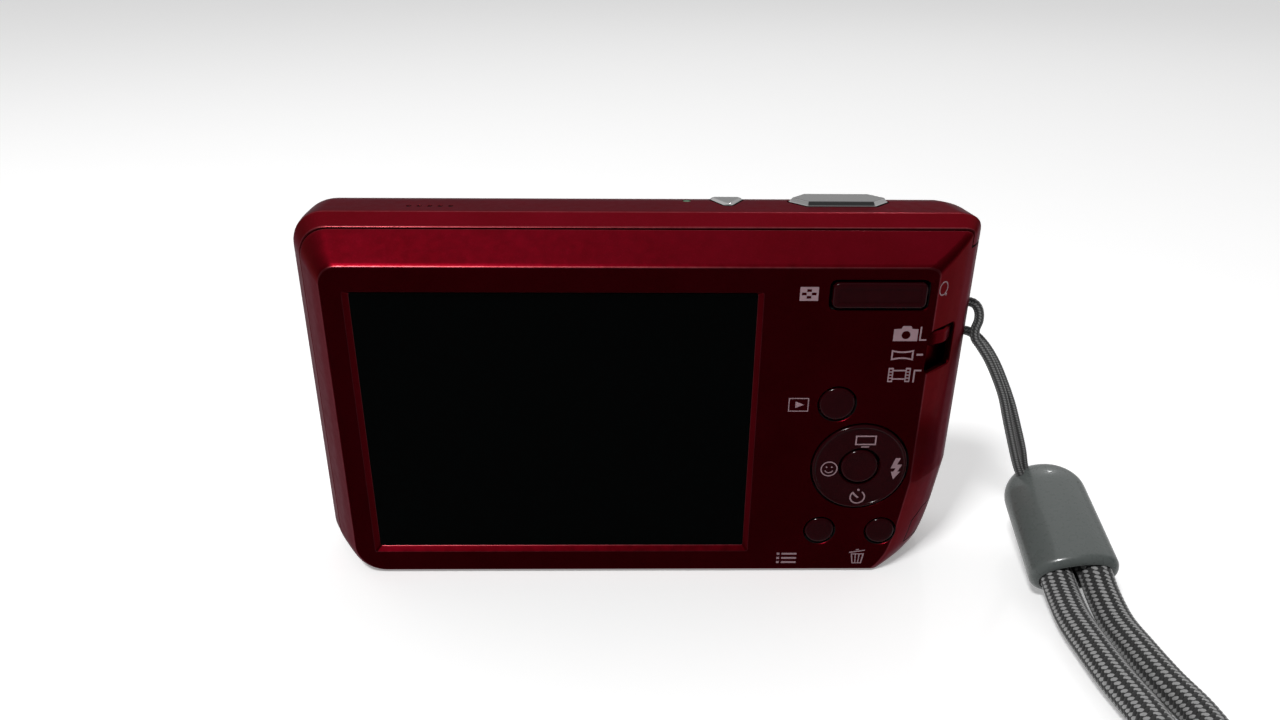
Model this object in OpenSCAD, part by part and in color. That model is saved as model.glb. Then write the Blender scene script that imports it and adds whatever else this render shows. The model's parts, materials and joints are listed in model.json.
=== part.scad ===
// Compact digital camera, standing upright on its base.
// Millimetres. +Z is up, +Y points out of the lens, +X is to the right as the
// screen is read. The origin is under the middle of the camera, on the surface.

/* [Body] */
// Overall width
body_w = 92.4; // [92:0.1:93]
// Overall height
body_h = 52.3; // [52:0.1:53]
// Thickness of the casing without the lens ring
body_d = 18.3; // [18.2:0.1:18.5]
// Depth of the whole camera with the buttons and the lens ring
overall_d = 21.7; // [21.5:0.1:22]
// How far the raised keys stand out of the back
key_proud = 0.35; // [0.2:0.05:0.4]
// Thickness of the casing walls
wall = 1.2; // [1.1:0.05:1.3]

/* [Screen] */
// Width of the screen window
screen_w = 52.6; // [50:0.1:52.8]
// Height of the screen window
screen_h = 39.2; // [38:0.1:39.6]
// Middle of the screen window, from the middle of the body
screen_x = -11; // [-11.2:0.05:-10.9]
// Middle of the screen window above the base
screen_z = 24; // [23.8:0.1:24.2]
// Depth of the window below the back
screen_sunk = 0.6; // [0.4:0.1:0.7]

/* [Keys] */
// Middle of the control ring across the body
ring_x = 31; // [30.8:0.1:31.2]
// Middle of the control ring above the base
ring_z = 18; // [17.8:0.05:18.2]
// Radius of the control ring
ring_r = 6.65; // [6.5:0.05:6.8]
// Radius of the select key in the ring
select_r = 2.6; // [2.5:0.1:2.8]
// Radius of the playback key
play_r = 2.45; // [2.3:0.05:2.6]
// Radius of the menu and delete keys
small_r = 2.1; // [2:0.05:2.3]
// Width of the zoom rocker
rocker_w = 12.2; // [12:0.1:12.5]
// Height of the zoom rocker
rocker_h = 3.5; // [3.4:0.1:4]
// Gap around each key
key_gap = 0.24; // [0.2:0.01:0.25]

/* [Lens] */
// Lens axis across the body
lens_x = -14.5; // [-14.6:0.1:-14.4]
// Lens axis above the base
lens_z = 26; // [25.9:0.1:26.1]
// Outer radius of the lens ring
bezel_r = 20.5; // [20:0.1:21]
// Outer radius of the large barrel
barrel_r = 15.8; // [15.7:0.05:15.8]
// Aperture of the front plate
aperture_r = 4.8; // [4.6:0.1:4.8]

/* [Battery] */
// Width of the battery
battery_w = 35; // [34.8:0.1:35]
// Thickness of the battery
battery_t = 5.2; // [5:0.1:5.2]
// Height of the battery
battery_h = 42.4; // [42:0.1:42.4]

/* [Tripod socket] */
// Radius of the tapped hole for a quarter inch screw
tripod_r = 2.6; // [2.55:0.01:2.6]
// Depth of the tapped hole
tripod_depth = 5.8; // [5:0.1:6]

/* [Strap] */
// Diameter of one strand of the thin string
string_dia = 1.3; // [1.2:0.1:1.4]
// Diameter of the braided cord
braid_dia = 5; // [4.8:0.1:5]

/* [Hidden] */
$fn = 48;
half_w = body_w / 2;
back_y = key_proud - overall_d / 2;
lens_proud = overall_d - key_proud;
hair = 0.01;

// Outline of the casing. Each pair is a depth from the back face and how far
// the outline lies inside the widest, highest or lowest place there.
left_in = [[0, 5.35], [2, 3.85], [5, 1.85], [8, 0.2], [10, 0],
           [14, 0], [16, 0.3], [17.5, 1.2], [body_d, 2.6]];
right_in = [[0, 7.8], [2, 5.4], [4, 3.3], [6, 1.6], [8, 0.5], [10, 0],
            [14, 0], [16, 0.3], [17.5, 1.2], [body_d, 2.6]];
top_in = [[0, 5], [0.3, 4.7], [5, 1.5], [8, 0],
          [14, 0], [16, 0.4], [17.5, 1.6], [body_d, 3.1]];
foot_in = [[0, 0.5], [0.8, 0], [16, 0], [17.5, 0.7], [body_d, 2]];
crown_scale = [[0, 0.4], [5, 0.25], [8, 0.7], [10, 1], [14, 1.2], [body_d, 1.2]];
crown = [[0, -3], [-0.3, -1.7], [-1, -0.9], [-4, 0]];
left_top_r = [[0, 2.5], [5, 4], [8, 4.5], [body_d, 4.5]];
left_foot_r = 4.2;
// The lower right corner, which leans in towards the base.
heel = [[-4, 0], [-3, 1], [-1.5, 4], [0, 15]];
slices = [0, 0.3, 0.8, 2, 4, 5, 6, 8, 10, 14, 16, 17.5, body_d];
seam_d = 5;
seam_gap = 0.3;
wing_d = 9.2;
wing_x = half_w - 4.7;
wing_low = 3;
wing_high = body_h - 3.9;

function at(table, d) = lookup(d, table);

// Points of a quarter circle about a centre, from one angle on.
function arc(centre, r, from, steps = 8) =
    [for (i = [0 : steps])
        centre + r * [cos(from + 90 * i / steps), sin(from + 90 * i / steps)]];

// Outline of the casing at a depth, drawn in by an inset.
function outline(d, inset) =
    let (x0 = at(left_in, d) - half_w + inset,
         x1 = half_w - at(right_in, d) - inset,
         z0 = at(foot_in, d) + inset,
         z1 = body_h - at(top_in, d) - inset,
         r1 = max(at(left_top_r, d) - inset, 0.5),
         r2 = max(left_foot_r - inset, 0.5),
         s = at(crown_scale, d))
    concat([for (p = crown) [x1, z1] + s * p],
           arc([x0 + r1, z1 - r1], r1, 90),
           arc([x0 + r2, z0 + r2], r2, 180),
           [for (p = heel) [x1, z0] + p]);

// Extrudes a shape drawn in X and Z from one depth to another.
module slab(from, to) {
    translate([0, back_y + to, 0])
        rotate([90, 0, 0])
            linear_extrude(to - from) children();
}

// Convex body through the outlines between two depths.
module loft(from, to, inset = 0) {
    inner = [for (d = slices) if (d > from && d < to) d];
    hull()
        for (d = concat([from], inner, [to]))
            slab(min(d, to - hair), min(d, to - hair) + hair)
                polygon(outline(d, inset));
}

// Box given by its limits, with Y as depth from the back face.
module block(x, d, z) {
    translate([x[0], back_y + d[0], z[0]])
        cube([x[1] - x[0], d[1] - d[0], z[1] - z[0]]);
}

// Cylinder along Y between two depths.
module rod_y(x, z, d, r) {
    translate([x, back_y + d[0], z])
        rotate([-90, 0, 0]) cylinder(r = r, h = d[1] - d[0]);
}

// Cylinder along Z between two heights.
module rod_z(x, d, z, r) {
    translate([x, back_y + d, z[0]]) cylinder(r = r, h = z[1] - z[0]);
}

// Cylinder along X between two places.
module rod_x(x, d, z, r) {
    translate([x[0], back_y + d, z])
        rotate([0, 90, 0]) cylinder(r = r, h = x[1] - x[0]);
}

// Rectangle with round corners.
module rounded(x, z, r) {
    translate([x[0] + r, z[0]]) square([x[1] - x[0] - 2 * r, z[1] - z[0]]);
    translate([x[0], z[0] + r]) square([x[1] - x[0], z[1] - z[0] - 2 * r]);
    for (cx = [x[0] + r, x[1] - r], cz = [z[0] + r, z[1] - r])
        translate([cx, cz]) circle(r = r);
}

// Ring along Y, about the lens axis.
module lens_tube(d, outer, bore) {
    difference() {
        rod_y(lens_x, lens_z, d, outer);
        rod_y(lens_x, lens_z, [d[0] - 1, d[1] + 1], bore);
    }
}

// Places that several pieces share.
screen_left = screen_x - screen_w / 2;
screen_right = screen_x + screen_w / 2;
screen_low = screen_z - screen_h / 2;
screen_high = screen_z + screen_h / 2;
window_t = 0.8;
window_back = screen_sunk + window_t;
rocker_x = 30.95;
rocker_z = 43.65;
rocker_r = 0.8;
play_x = 26.95;
play_z = 27.85;
menu_x = 26.3;
menu_z = 7.25;
delete_x = 35.1;
delete_z = 7.15;
power_x = 12.1;
power_d = 13.1;
shutter_x = 27.4;
shutter_d = 13.3;
shutter_half = 6.8;
shutter_r = 2.4;
cap_d = 3;
board_d = 3.4;
board_t = 0.7;
chassis_d = 4.4;
chassis_t = 0.6;
pcb_d = 5.2;
pcb_t = 0.8;
battery_x0 = 5.4;
battery_x1 = battery_x0 + battery_w;
battery_d0 = 6.9;
battery_d1 = battery_d0 + battery_t;
battery_z0 = 2.4;
battery_z1 = battery_z0 + battery_h;
case_t = 0.5;
case_gap = 0.1;
door_x = [4.8, 41];
door_d = [6.1, 15.7];
door_t = 1.2;
door_gap = 0.2;
door_axis_x = door_x[0] + door_t / 2;
pin_r = 0.35;
running = 0.05;
tripod_x = -4;
tripod_d = 9.5;
tripod_outer = 4.4;
eyelet_d = [8.2, 12.6];
eyelet_z = [33.2, 39.6];
eyelet_x = 42.8;
bar_x = 45.1;
bar_z = 36.4;
bar_r = 0.7;
slope_angle = 41.6;
slot_z = [32.4, 38.6];
knob_z = [36.3, 38.3];
mode_travel = 3.5;
led_x = 6.6;
led_d = 13.6;
flash_x = [10, 21];
flash_z = [40.6, 46.4];
lamp_x = 25.5;
lamp_z = 43.5;
mic_x = 4.6;
mic_z = 46;
speaker_x = -28;
speaker_d = 10.5;
connector_x = [-26, -16];
connector_d = [7.6, 10.8];
screw_spots = [[-38, 8], [-38, 13.8], [-10.5, 14]];
screw_r = 0.8;
screw_head_r = 1.5;
pivot_x = 10.4;
pivot_z = 1;
pivot_pin_r = 0.45;
leaf_r = 5.4;
leaf_gap = 0.08;
motor_x = -38.6;
motor_d = 10.6;
gear_teeth = 14;

// ---------------------------------------------------------------- casing

// The share of the body that belongs to the rear cover, grown by a gap. It
// reaches further forward at the right, where the thumb rests.
module rear_share(gap) {
    block([-half_w - 1, half_w + 1], [-1, seam_d + gap], [-1, body_h + 1]);
    block([wing_x - gap, half_w + 1], [seam_d - 1, wing_d + gap],
          [wing_low - gap, wing_high + gap]);
}

// Prism of the small flap at the lower right, grown by a gap.
module cover_prism(gap) {
    back = 2.9 - gap;
    front = 8.7 + gap;
    low = 3.4 - gap;
    high = 8.4 + gap;
    cut = 1.5;
    translate([half_w - 6.5, back_y, 0])
        rotate([90, 0, 90])
            linear_extrude(8)
                polygon([[back, low], [back, high - cut], [back + cut, high],
                         [front, high], [front, low]]);
}

// A piece drawn against the slanted right side: its own X runs along the
// slope and its own Y runs into the body.
module on_slope() {
    translate([half_w - right_in[0][1], back_y, 0])
        rotate([0, 0, slope_angle]) children();
}

module key_holes() {
    r = [[play_x, play_z, play_r], [ring_x, ring_z, ring_r],
         [menu_x, menu_z, small_r], [delete_x, delete_z, small_r]];
    for (k = r)
        rod_y(k[0], k[1], [-1, wall + 1], k[2] + key_gap);
}

module screen_hole() {
    lip = 0.8;
    slab(-1, wall + 1)
        rounded([screen_left - 0.05, screen_right + 0.05],
                [screen_low - 0.05, screen_high + 0.05], 0.3);
    hull() {
        slab(-hair, 0)
            square_at([screen_left - lip, screen_right + lip],
                      [screen_low - lip, screen_high + lip / 2]);
        slab(screen_sunk - hair, screen_sunk)
            square_at([screen_left, screen_right], [screen_low, screen_high]);
    }
}

module square_at(x, z) {
    translate([x[0], z[0]]) square([x[1] - x[0], z[1] - z[0]]);
}

module rocker_hole() {
    slab(-1, wall + 1)
        rounded([rocker_x - rocker_w / 2 - 0.35, rocker_x + rocker_w / 2 + 0.35],
                [rocker_z - rocker_h / 2 - 0.3, rocker_z + rocker_h / 2 + 0.3],
                rocker_r);
}

module mode_slot() {
    on_slope()
        translate([-0.3, -1, slot_z[0]])
            cube([5.9, 2.7, slot_z[1] - slot_z[0]]);
}

module eyelet_pocket() {
    block([eyelet_x, half_w + 1], eyelet_d, eyelet_z);
}

module rear_cover() {
    color("#5a0614")
        difference() {
            intersection() {
                loft(0, body_d);
                rear_share(0);
            }
            loft(wall, body_d - wall, wall);
            key_holes();
            screen_hole();
            rocker_hole();
            mode_slot();
            eyelet_pocket();
            cover_prism(0.2);
        }
}

module power_outline(grow) {
    hull()
        for (p = [[-1.4, 1.3], [1.4, 1.3], [0, -1.1]])
            translate(p) circle(r = 0.8 + grow, $fn = 32);
}

module shutter_outline(grow) {
    reach = shutter_half - shutter_r;
    translate([-reach, -shutter_r - grow]) square([2 * reach, 2 * (shutter_r + grow)]);
    for (side = [-1, 1])
        translate([side * reach, 0]) circle(r = shutter_r + grow);
}

module front_openings() {
    rod_y(lens_x, lens_z, [body_d - 4, body_d + 1], barrel_r + 1.4);
    slab(body_d - 4, body_d + 1) square_at(flash_x, flash_z);
    rod_y(lamp_x, lamp_z, [body_d - 4, body_d + 1], 1.8);
    rod_y(mic_x, mic_z, [body_d - 4, body_d + 1], 0.4);
}

module top_openings() {
    translate([power_x, back_y + power_d, body_h - 3])
        linear_extrude(4) power_outline(key_gap);
    translate([shutter_x, back_y + shutter_d, body_h - 3])
        linear_extrude(4) shutter_outline(key_gap);
    rod_z(led_x, led_d, [body_h - 3, body_h + 1], 0.6);
    for (i = [-2 : 2])
        rod_z(speaker_x + 1.4 * i, speaker_d, [body_h - 3, body_h + 1], 0.35);
}

module base_openings() {
    block([door_x[0] - door_gap, door_x[1] + door_gap],
          [door_d[0] - door_gap, door_d[1] + door_gap], [-1, wall + 0.5]);
    rod_z(tripod_x, tripod_d, [-1, wall + 1], tripod_outer);
    block(connector_x, connector_d, [-1, wall + 1]);
    for (s = screw_spots) {
        rod_z(s[0], s[1], [-1, wall + 1], screw_r + 0.05);
        rod_z(s[0], s[1], [-1, 0.7], screw_head_r + 0.05);
    }
    rod_y(door_axis_x, door_t / 2, [door_d[0] - 1, door_d[1] + 1], pin_r);
}

// Lugs above the base that hold the ends of the door's pin.
module pin_lugs() {
    for (d = [[door_d[0] - 1, door_d[0] - door_gap],
              [door_d[1] + door_gap, door_d[1] + 0.8]])
        block([door_x[0] - 0.5, door_x[0] + 1.7], d, [0.2, wall + 0.4]);
}

module front_cover() {
    color("#6a0718")
        difference() {
            loft(0, body_d);
            difference() {
                loft(wall, body_d - wall, wall);
                block([eyelet_x - 1.2, half_w],
                      [eyelet_d[0] - 0.6, eyelet_d[1] + 1.2],
                      [eyelet_z[0] - 1, eyelet_z[1] + 1]);
                pin_lugs();
            }
            rear_share(seam_gap);
            eyelet_pocket();
            front_openings();
            top_openings();
            base_openings();
            rod_y(bar_x, bar_z, [eyelet_d[0], eyelet_d[1] + 0.8], bar_r);
        }
}

// Pressed plate between the screen side and the lens side, with feet that
// take the screws.
module chassis() {
    color("#9a9ca0") {
        difference() {
            slab(chassis_d, chassis_d + chassis_t)
                rounded([-41.5, 39], [2.4, 47.6], 3.5);
            slab(chassis_d - 1, chassis_d + 2) rounded([-22, -7], [18, 34], 1);
            slab(chassis_d - 1, chassis_d + 2) rounded([19, 36], [26, 40], 1);
            for (x = [-36, -30, 8, 13])
                rod_y(x, 41, [chassis_d - 1, chassis_d + 2], 1.2);
        }
        for (foot = [[-41, -35], [-13, -8.9]])
            difference() {
                union() {
                    block(foot, [chassis_d + chassis_t, 15.6], [1.5, 2.1]);
                    block(foot, [chassis_d + chassis_t, chassis_d + 1.2], [1.5, 3.4]);
                }
                for (s = screw_spots)
                    rod_z(s[0], s[1], [1, 4], screw_r);
            }
    }
}

module case_screws() {
    color("silver")
        for (s = screw_spots)
            difference() {
                union() {
                    rod_z(s[0], s[1], [0.1, 0.7], screw_head_r);
                    rod_z(s[0], s[1], [0.7, 4.2], screw_r);
                }
                for (turn = [0, 90])
                    translate([s[0], back_y + s[1], 0.1])
                        rotate([0, 0, turn])
                            cube([1.7, 0.35, 0.5], center = true);
            }
}

// ---------------------------------------------------------------- screen

module lcd_window() {
    color("#050507")
        slab(screen_sunk, window_back)
            rounded([screen_left, screen_right], [screen_low, screen_high], 0.3);
}

module lcd_panel() {
    color("#16181c")
        slab(window_back, 3.6)
            square_at([screen_left - 1.4, screen_right + 1.4],
                      [screen_low - 1.4, screen_high + 1.6]);
}

module lcd_tray() {
    color("silver")
        difference() {
            slab(3.6, 4)
                square_at([screen_left - 1.6, screen_right + 1.6],
                          [screen_low - 1.6, screen_high + 1.8]);
            for (x = [-24, 1], z = [14, 34])
                rod_y(x, z, [3, 5], 3);
        }
}

// ---------------------------------------------------------------- keys

// A round key: a cap, a collar inside the cover and a stem.
module round_key(x, z, r, proud) {
    rod_y(x, z, [-proud, 1.6], r);
    rod_y(x, z, [1.6, 2.1], r + 0.5);
    rod_y(x, z, [2.1, cap_d - 0.1], 0.9);
}

module playback_button() {
    color("#4a0410") round_key(play_x, play_z, play_r, 0.15);
}

module menu_button() {
    color("#4a0410") round_key(menu_x, menu_z, small_r, 0.12);
}

module delete_button() {
    color("#4a0410") round_key(delete_x, delete_z, small_r, 0.12);
}

// Four-way ring with a finger rim, a collar and an open middle.
module control_ring() {
    color("#4a0410")
        difference() {
            union() {
                rod_y(ring_x, ring_z, [-0.2, 1.9], ring_r);
                rod_y(ring_x, ring_z, [1.9, 2.3], ring_r + 0.5);
            }
            rod_y(ring_x, ring_z, [-1, 3], select_r + 0.35);
            difference() {
                rod_y(ring_x, ring_z, [-1, 0.15], ring_r - 0.7);
                rod_y(ring_x, ring_z, [-1, 0.15], select_r + 0.9);
            }
        }
}

// Washer that the ring rocks on.
module ring_pivot() {
    color("#303236")
        difference() {
            rod_y(ring_x, ring_z, [2.65, 2.95], 4.4);
            rod_y(ring_x, ring_z, [2, 4], 2.6);
        }
}

module select_button() {
    color("#4a0410") {
        rod_y(ring_x, ring_z, [-0.1, 1.9], select_r);
        rod_y(ring_x, ring_z, [1.9, cap_d - 0.1], 1.6);
    }
}

module zoom_rocker() {
    color("#3a030c") {
        slab(-key_proud, 1.9)
            rounded([rocker_x - rocker_w / 2, rocker_x + rocker_w / 2],
                    [rocker_z - rocker_h / 2, rocker_z + rocker_h / 2], rocker_r);
        slab(1.9, 2.4)
            square_at([rocker_x - 5.9, rocker_x + 5.2],
                      [rocker_z - 2.3, rocker_z + 2.3]);
    }
}

// Slider behind the slanted side, with the knob that stands in the slot.
module mode_switch() {
    knob_h = knob_z[1] - knob_z[0];
    plate_z = slot_z[0] - 0.3;
    color("#3a030c")
        on_slope() {
            translate([0, 1.75, plate_z])
                cube([5.4, 0.5, slot_z[1] - slot_z[0] + mode_travel + 0.1]);
            translate([0.1, -0.4, knob_z[0]]) cube([5, 2.2, knob_h]);
        }
}

module key_board() {
    color("#1d5a34")
        slab(board_d, board_d + board_t)
            polygon([[18, 2.6], [34, 2.6], [37.8, 5.4], [37.8, 44.6],
                     [34, 46.8], [18, 46.8]]);
}

// Metal snap domes on the key board, one under each press point.
module key_domes() {
    arm = 5.3;
    spots = concat([[play_x, play_z], [ring_x, ring_z], [menu_x, menu_z],
                    [delete_x, delete_z], [rocker_x - 5, rocker_z],
                    [rocker_x + 5, rocker_z]],
                   [for (a = [0 : 90 : 270])
                       [ring_x + arm * cos(a), ring_z + arm * sin(a)]]);
    color("silver")
        for (p = spots)
            rod_y(p[0], p[1], [board_d - 0.15, board_d], 1.5);
}

// ---------------------------------------------------------------- top keys

module power_button() {
    color("silver") {
        translate([power_x, back_y + power_d, body_h - 2])
            linear_extrude(2.25) power_outline(0);
        translate([power_x, back_y + power_d, body_h - 2.6])
            linear_extrude(0.6) power_outline(0.5);
        rod_z(power_x, power_d, [body_h - 3.2, body_h - 2.6], 0.8);
    }
}

module shutter_button() {
    color("silver") {
        translate([shutter_x, back_y + shutter_d, body_h - 2.4])
            linear_extrude(2.4 + 0.55) shutter_outline(0);
        rod_z(shutter_x, shutter_d, [body_h - 3.4, body_h - 2.4], 1);
    }
}

module top_board() {
    color("#1d5a34")
        block([8, 35], [10.2, 15.6], [46.7, 47.4]);
}

module top_switches() {
    color("#d9d9dc") {
        block([power_x - 1.8, power_x + 1.8], [power_d - 1.8, power_d + 1.8],
              [47.4, 48.6]);
        block([shutter_x - 2.2, shutter_x + 2.2],
              [shutter_d - 2.2, shutter_d + 2.2], [47.4, 47.9]);
    }
}

// ---------------------------------------------------------------- lens

// Raised ring around the lens, sloping in towards the barrel.
module lens_bezel() {
    color("#7d7f84")
        translate([lens_x, back_y + body_d - 1, lens_z])
            rotate([-90, 0, 0])
                rotate_extrude()
                    polygon([[barrel_r + 0.5, 0], [barrel_r + 1.4, 0],
                             [barrel_r + 1.4, 1], [bezel_r, 1],
                             [bezel_r, 1.9], [bezel_r - 1.4, 3.6],
                             [bezel_r - 2.2, lens_proud - body_d + 1],
                             [barrel_r + 1, lens_proud - body_d + 1],
                             [barrel_r + 0.5, 3.2]]);
}

module lens_housing() {
    color("#26282c") {
        difference() {
            slab(6.2, 7.4) rounded([-33, 4], [9.2, 42.8], 2);
            slab(6, 8) square_at([lens_x - 5.6, lens_x + 5.6],
                                 [lens_z - 4.6, lens_z + 4.6]);
        }
        lens_tube([7.4, body_d - 1.6], barrel_r + 1.2, barrel_r + 0.2);
    }
}

module lens_barrel_outer() {
    color("#b4b6ba") {
        lens_tube([9.4, 19.2], barrel_r, barrel_r - 1.6);
        lens_tube([19.2, 20.2], barrel_r, barrel_r - 1.9);
    }
}

module lens_barrel_inner() {
    color("#c6c8cc") {
        lens_tube([9.8, 20.6], barrel_r - 2.1, barrel_r - 3.4);
        lens_tube([18.2, 18.8], barrel_r - 3.4, aperture_r + 0.5);
        lens_tube([15.4, 18.2], 8, 7);
        for (side = [-1, 1])
            rod_y(lens_x + side * pivot_x, lens_z - side * pivot_z,
                  [18.8, 19.7], pivot_pin_r);
    }
}

module lens_front_plate() {
    color("#2b2d31") {
        lens_tube([20, 20.6], barrel_r - 3.4, aperture_r + 1.6);
        lens_tube([19.9, 20.2], aperture_r + 1.6, aperture_r);
    }
}

// Domed front element.
module lens_front_glass() {
    color("#233040", 0.6)
        intersection() {
            rod_y(lens_x, lens_z, [15.6, 18.2], 7);
            translate([lens_x, back_y + 18.1 - 14, lens_z]) sphere(r = 14, $fn = 96);
        }
}

module lens_rear_group() {
    color("#202226")
        difference() {
            rod_y(lens_x, lens_z, [7.4, 9], 7.5);
            rod_y(lens_x, lens_z, [7, 8.4], 5);
        }
}

// One leaf of the lens barrier: half a disc on an arm with an eye. side is 1
// for the upper leaf, whose eye is on the left.
module barrier_leaf(side) {
    color("#17181a")
        slab(19.2, 19.55)
            translate([lens_x, lens_z])
                rotate(side > 0 ? 0 : 180)
                    difference() {
                        union() {
                            intersection() {
                                circle(r = leaf_r);
                                square_at([-leaf_r, leaf_r], [leaf_gap, leaf_r]);
                            }
                            square_at([-pivot_x, -3.5], [leaf_gap, 2 * pivot_z - leaf_gap]);
                            translate([-pivot_x, pivot_z])
                                circle(r = pivot_z - leaf_gap);
                        }
                        translate([-pivot_x, pivot_z]) circle(r = pivot_pin_r + running);
                    }
}

module barrier_upper() {
    barrier_leaf(1);
}

module barrier_lower() {
    barrier_leaf(-1);
}

module image_sensor() {
    color("#31506a")
        slab(pcb_d + 0.7, 7)
            square_at([lens_x - 5, lens_x + 5], [lens_z - 4, lens_z + 4]);
}

module sensor_plate() {
    color("#b9bbc0")
        slab(pcb_d, pcb_d + 0.7)
            rounded([lens_x - 10, lens_x + 10], [lens_z - 9, lens_z + 9], 1.5);
}

module zoom_motor() {
    color("#8b8d92") {
        rod_z(motor_x, motor_d, [29, 40], 3.2);
        rod_z(motor_x, motor_d, [27.4, 29], 0.6);
        rod_z(motor_x, motor_d, [40, 41.6], 1.6);
    }
}

// Toothed wheel on the end of the motor's shaft.
module zoom_gear() {
    tooth = 360 / gear_teeth;
    color("#e6e3d8")
        translate([motor_x, back_y + motor_d, 25.6])
            difference() {
                linear_extrude(1.6)
                    polygon([for (i = [0 : gear_teeth - 1], s = [[-0.3, 2], [-0.14, 2.8],
                                                                 [0.14, 2.8], [0.3, 2]])
                        s[1] * [cos(tooth * (i + s[0])), sin(tooth * (i + s[0]))]]);
                translate([0, 0, -1]) cylinder(r = 0.65, h = 4);
            }
}

// ---------------------------------------------------------------- front parts

module flash_window() {
    color("#e8eef2", 0.7)
        slab(body_d - 1.9, body_d - 0.05)
            rounded([flash_x[0] + 0.05, flash_x[1] - 0.05],
                    [flash_z[0] + 0.05, flash_z[1] - 0.05], 0.4);
}

module flash_reflector() {
    color("silver")
        difference() {
            block([flash_x[0] - 0.3, flash_x[1] + 0.3], [13.1, body_d - 1.95],
                  [flash_z[0] - 0.4, flash_z[1] + 0.2]);
            block([flash_x[0] + 0.3, flash_x[1] - 0.3], [13.7, body_d],
                  [flash_z[0] + 0.2, flash_z[1] - 0.4]);
        }
}

module flash_tube() {
    color("#f4f4ee", 0.8)
        rod_x([flash_x[0] + 0.4, flash_x[1] - 0.4], 15, flash_z[0] + 2.6, 1.1);
}

module flash_capacitor() {
    color("#20242c") {
        rod_z(-39.6, 11, [6.4, 22], 3.4);
        rod_z(-39.6, 11, [22, 22.5], 3);
    }
}

module focus_lamp() {
    color("#c8402a", 0.8) {
        rod_y(lamp_x, lamp_z, [body_d - 1.6, body_d - 0.15], 1.75);
        rod_y(lamp_x, lamp_z, [body_d - 2.6, body_d - 1.6], 2.1);
    }
}

module microphone() {
    color("#3a3c40") rod_y(mic_x, mic_z, [14.6, 16.4], 1.9);
}

module speaker() {
    color("#2a2c30")
        difference() {
            rod_z(speaker_x, speaker_d, [48, 50.1], 3.9);
            rod_z(speaker_x, speaker_d, [49.4, 51], 3.1);
        }
}

module power_lamp() {
    color("#6fd08a", 0.8) rod_z(led_x, led_d, [body_h - 1.6, body_h - 0.1], 0.55);
}

// ---------------------------------------------------------------- inside

module main_board() {
    color("#1d5a34")
        slab(pcb_d, pcb_d + pcb_t)
            polygon([[5.2, 3.4], [38, 3.4], [40.2, 6], [40.2, 44], [38, 46.6],
                     [5.2, 46.6]]);
    color("#1a1b1e") {
        block([8, 16], [pcb_d + pcb_t, 7], [45.8, 46.6]);
        block([20, 30], [pcb_d + pcb_t, 7], [45.8, 46.6]);
    }
}

module battery() {
    color("#2c2e33")
        block([battery_x0, battery_x1], [battery_d0, battery_d1],
              [battery_z0, battery_z1]);
}

module battery_case() {
    g = case_gap;
    t = case_gap + case_t;
    color("#3b3d42")
        difference() {
            block([battery_x0 - t, battery_x1 + t],
                  [battery_d0 - t, battery_d1 + t],
                  [battery_z0 + 0.8, battery_z1 + 0.8]);
            block([battery_x0 - g, battery_x1 + g],
                  [battery_d0 - g, battery_d1 + g], [0, battery_z1 + 0.3]);
        }
}

module battery_contacts() {
    color("gold")
        for (i = [0 : 2])
            block([9 + 4 * i, 11 + 4 * i], [8.6, 10.4],
                  [battery_z1, battery_z1 + 0.3]);
}

// Spring hook under the battery, on a slider at the left of its bay.
module battery_latch() {
    color("#3468a8") {
        block([2.2, 4.2], [8.4, 11], [1.6, 7]);
        block([4.2, 6.4], [8.9, 10.5], [1.6, 2.1]);
    }
}

module memory_card() {
    color("#24427a")
        slab(13.4, 15.5)
            polygon([[12, 2.6], [36, 2.6], [36, 34.6], [16, 34.6], [12, 30.6]]);
}

module card_slot() {
    color("#c9cbd0")
        difference() {
            block([11.5, 36.5], [12.9, 16], [4, 36]);
            block([11.9, 36.1], [13.3, 15.6], [3, 35.6]);
        }
}

// Socket for the data and picture cable, open at the base.
module multi_connector() {
    color("silver")
        difference() {
            block(connector_x, connector_d, [0.3, 6.8]);
            block([connector_x[0] + 0.4, connector_x[1] - 0.4],
                  [connector_d[0] + 0.4, connector_d[1] - 0.4], [0, 6.2]);
        }
    color("#17181a")
        block([connector_x[0] + 1.5, connector_x[1] - 1.5],
              [9, 9.5], [1, 6.2]);
}

// ---------------------------------------------------------------- base

module battery_door() {
    color("#5a0614")
        difference() {
            union() {
                block([door_axis_x, door_x[1]], door_d, [0, door_t]);
                rod_y(door_axis_x, door_t / 2, door_d, door_t / 2);
                block([9, 37], [13.6, 15.2], [door_t, door_t + 0.4]);
            }
            rod_y(door_axis_x, door_t / 2, [door_d[0] - 1, door_d[1] + 1],
                  pin_r + running);
            for (i = [0 : 3])
                block([35.4 + i * 1.2, 35.9 + i * 1.2], [8, 13.8], [-1, 0.2]);
        }
}

module door_pin() {
    color("silver")
        rod_y(door_axis_x, door_t / 2, [door_d[0] - 0.9, door_d[1] + 0.7], pin_r);
}

module cord_cover() {
    color("#5a0614")
        intersection() {
            difference() {
                loft(0, body_d);
                loft(wall, body_d - wall, wall);
            }
            cover_prism(0);
            rear_share(0);
        }
}

module tripod_socket() {
    color("#a8aaae")
        difference() {
            union() {
                rod_z(tripod_x, tripod_d, [0, wall + 0.6], tripod_outer);
                rod_z(tripod_x, tripod_d, [wall + 0.6, 7.2], tripod_outer - 0.6);
            }
            rod_z(tripod_x, tripod_d, [-1, tripod_depth], tripod_r);
        }
}

module strap_bar() {
    color("silver")
        rod_y(bar_x, bar_z, [eyelet_d[0] + 0.9, eyelet_d[1] + 0.8], bar_r);
}

// ---------------------------------------------------------------- strap

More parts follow.
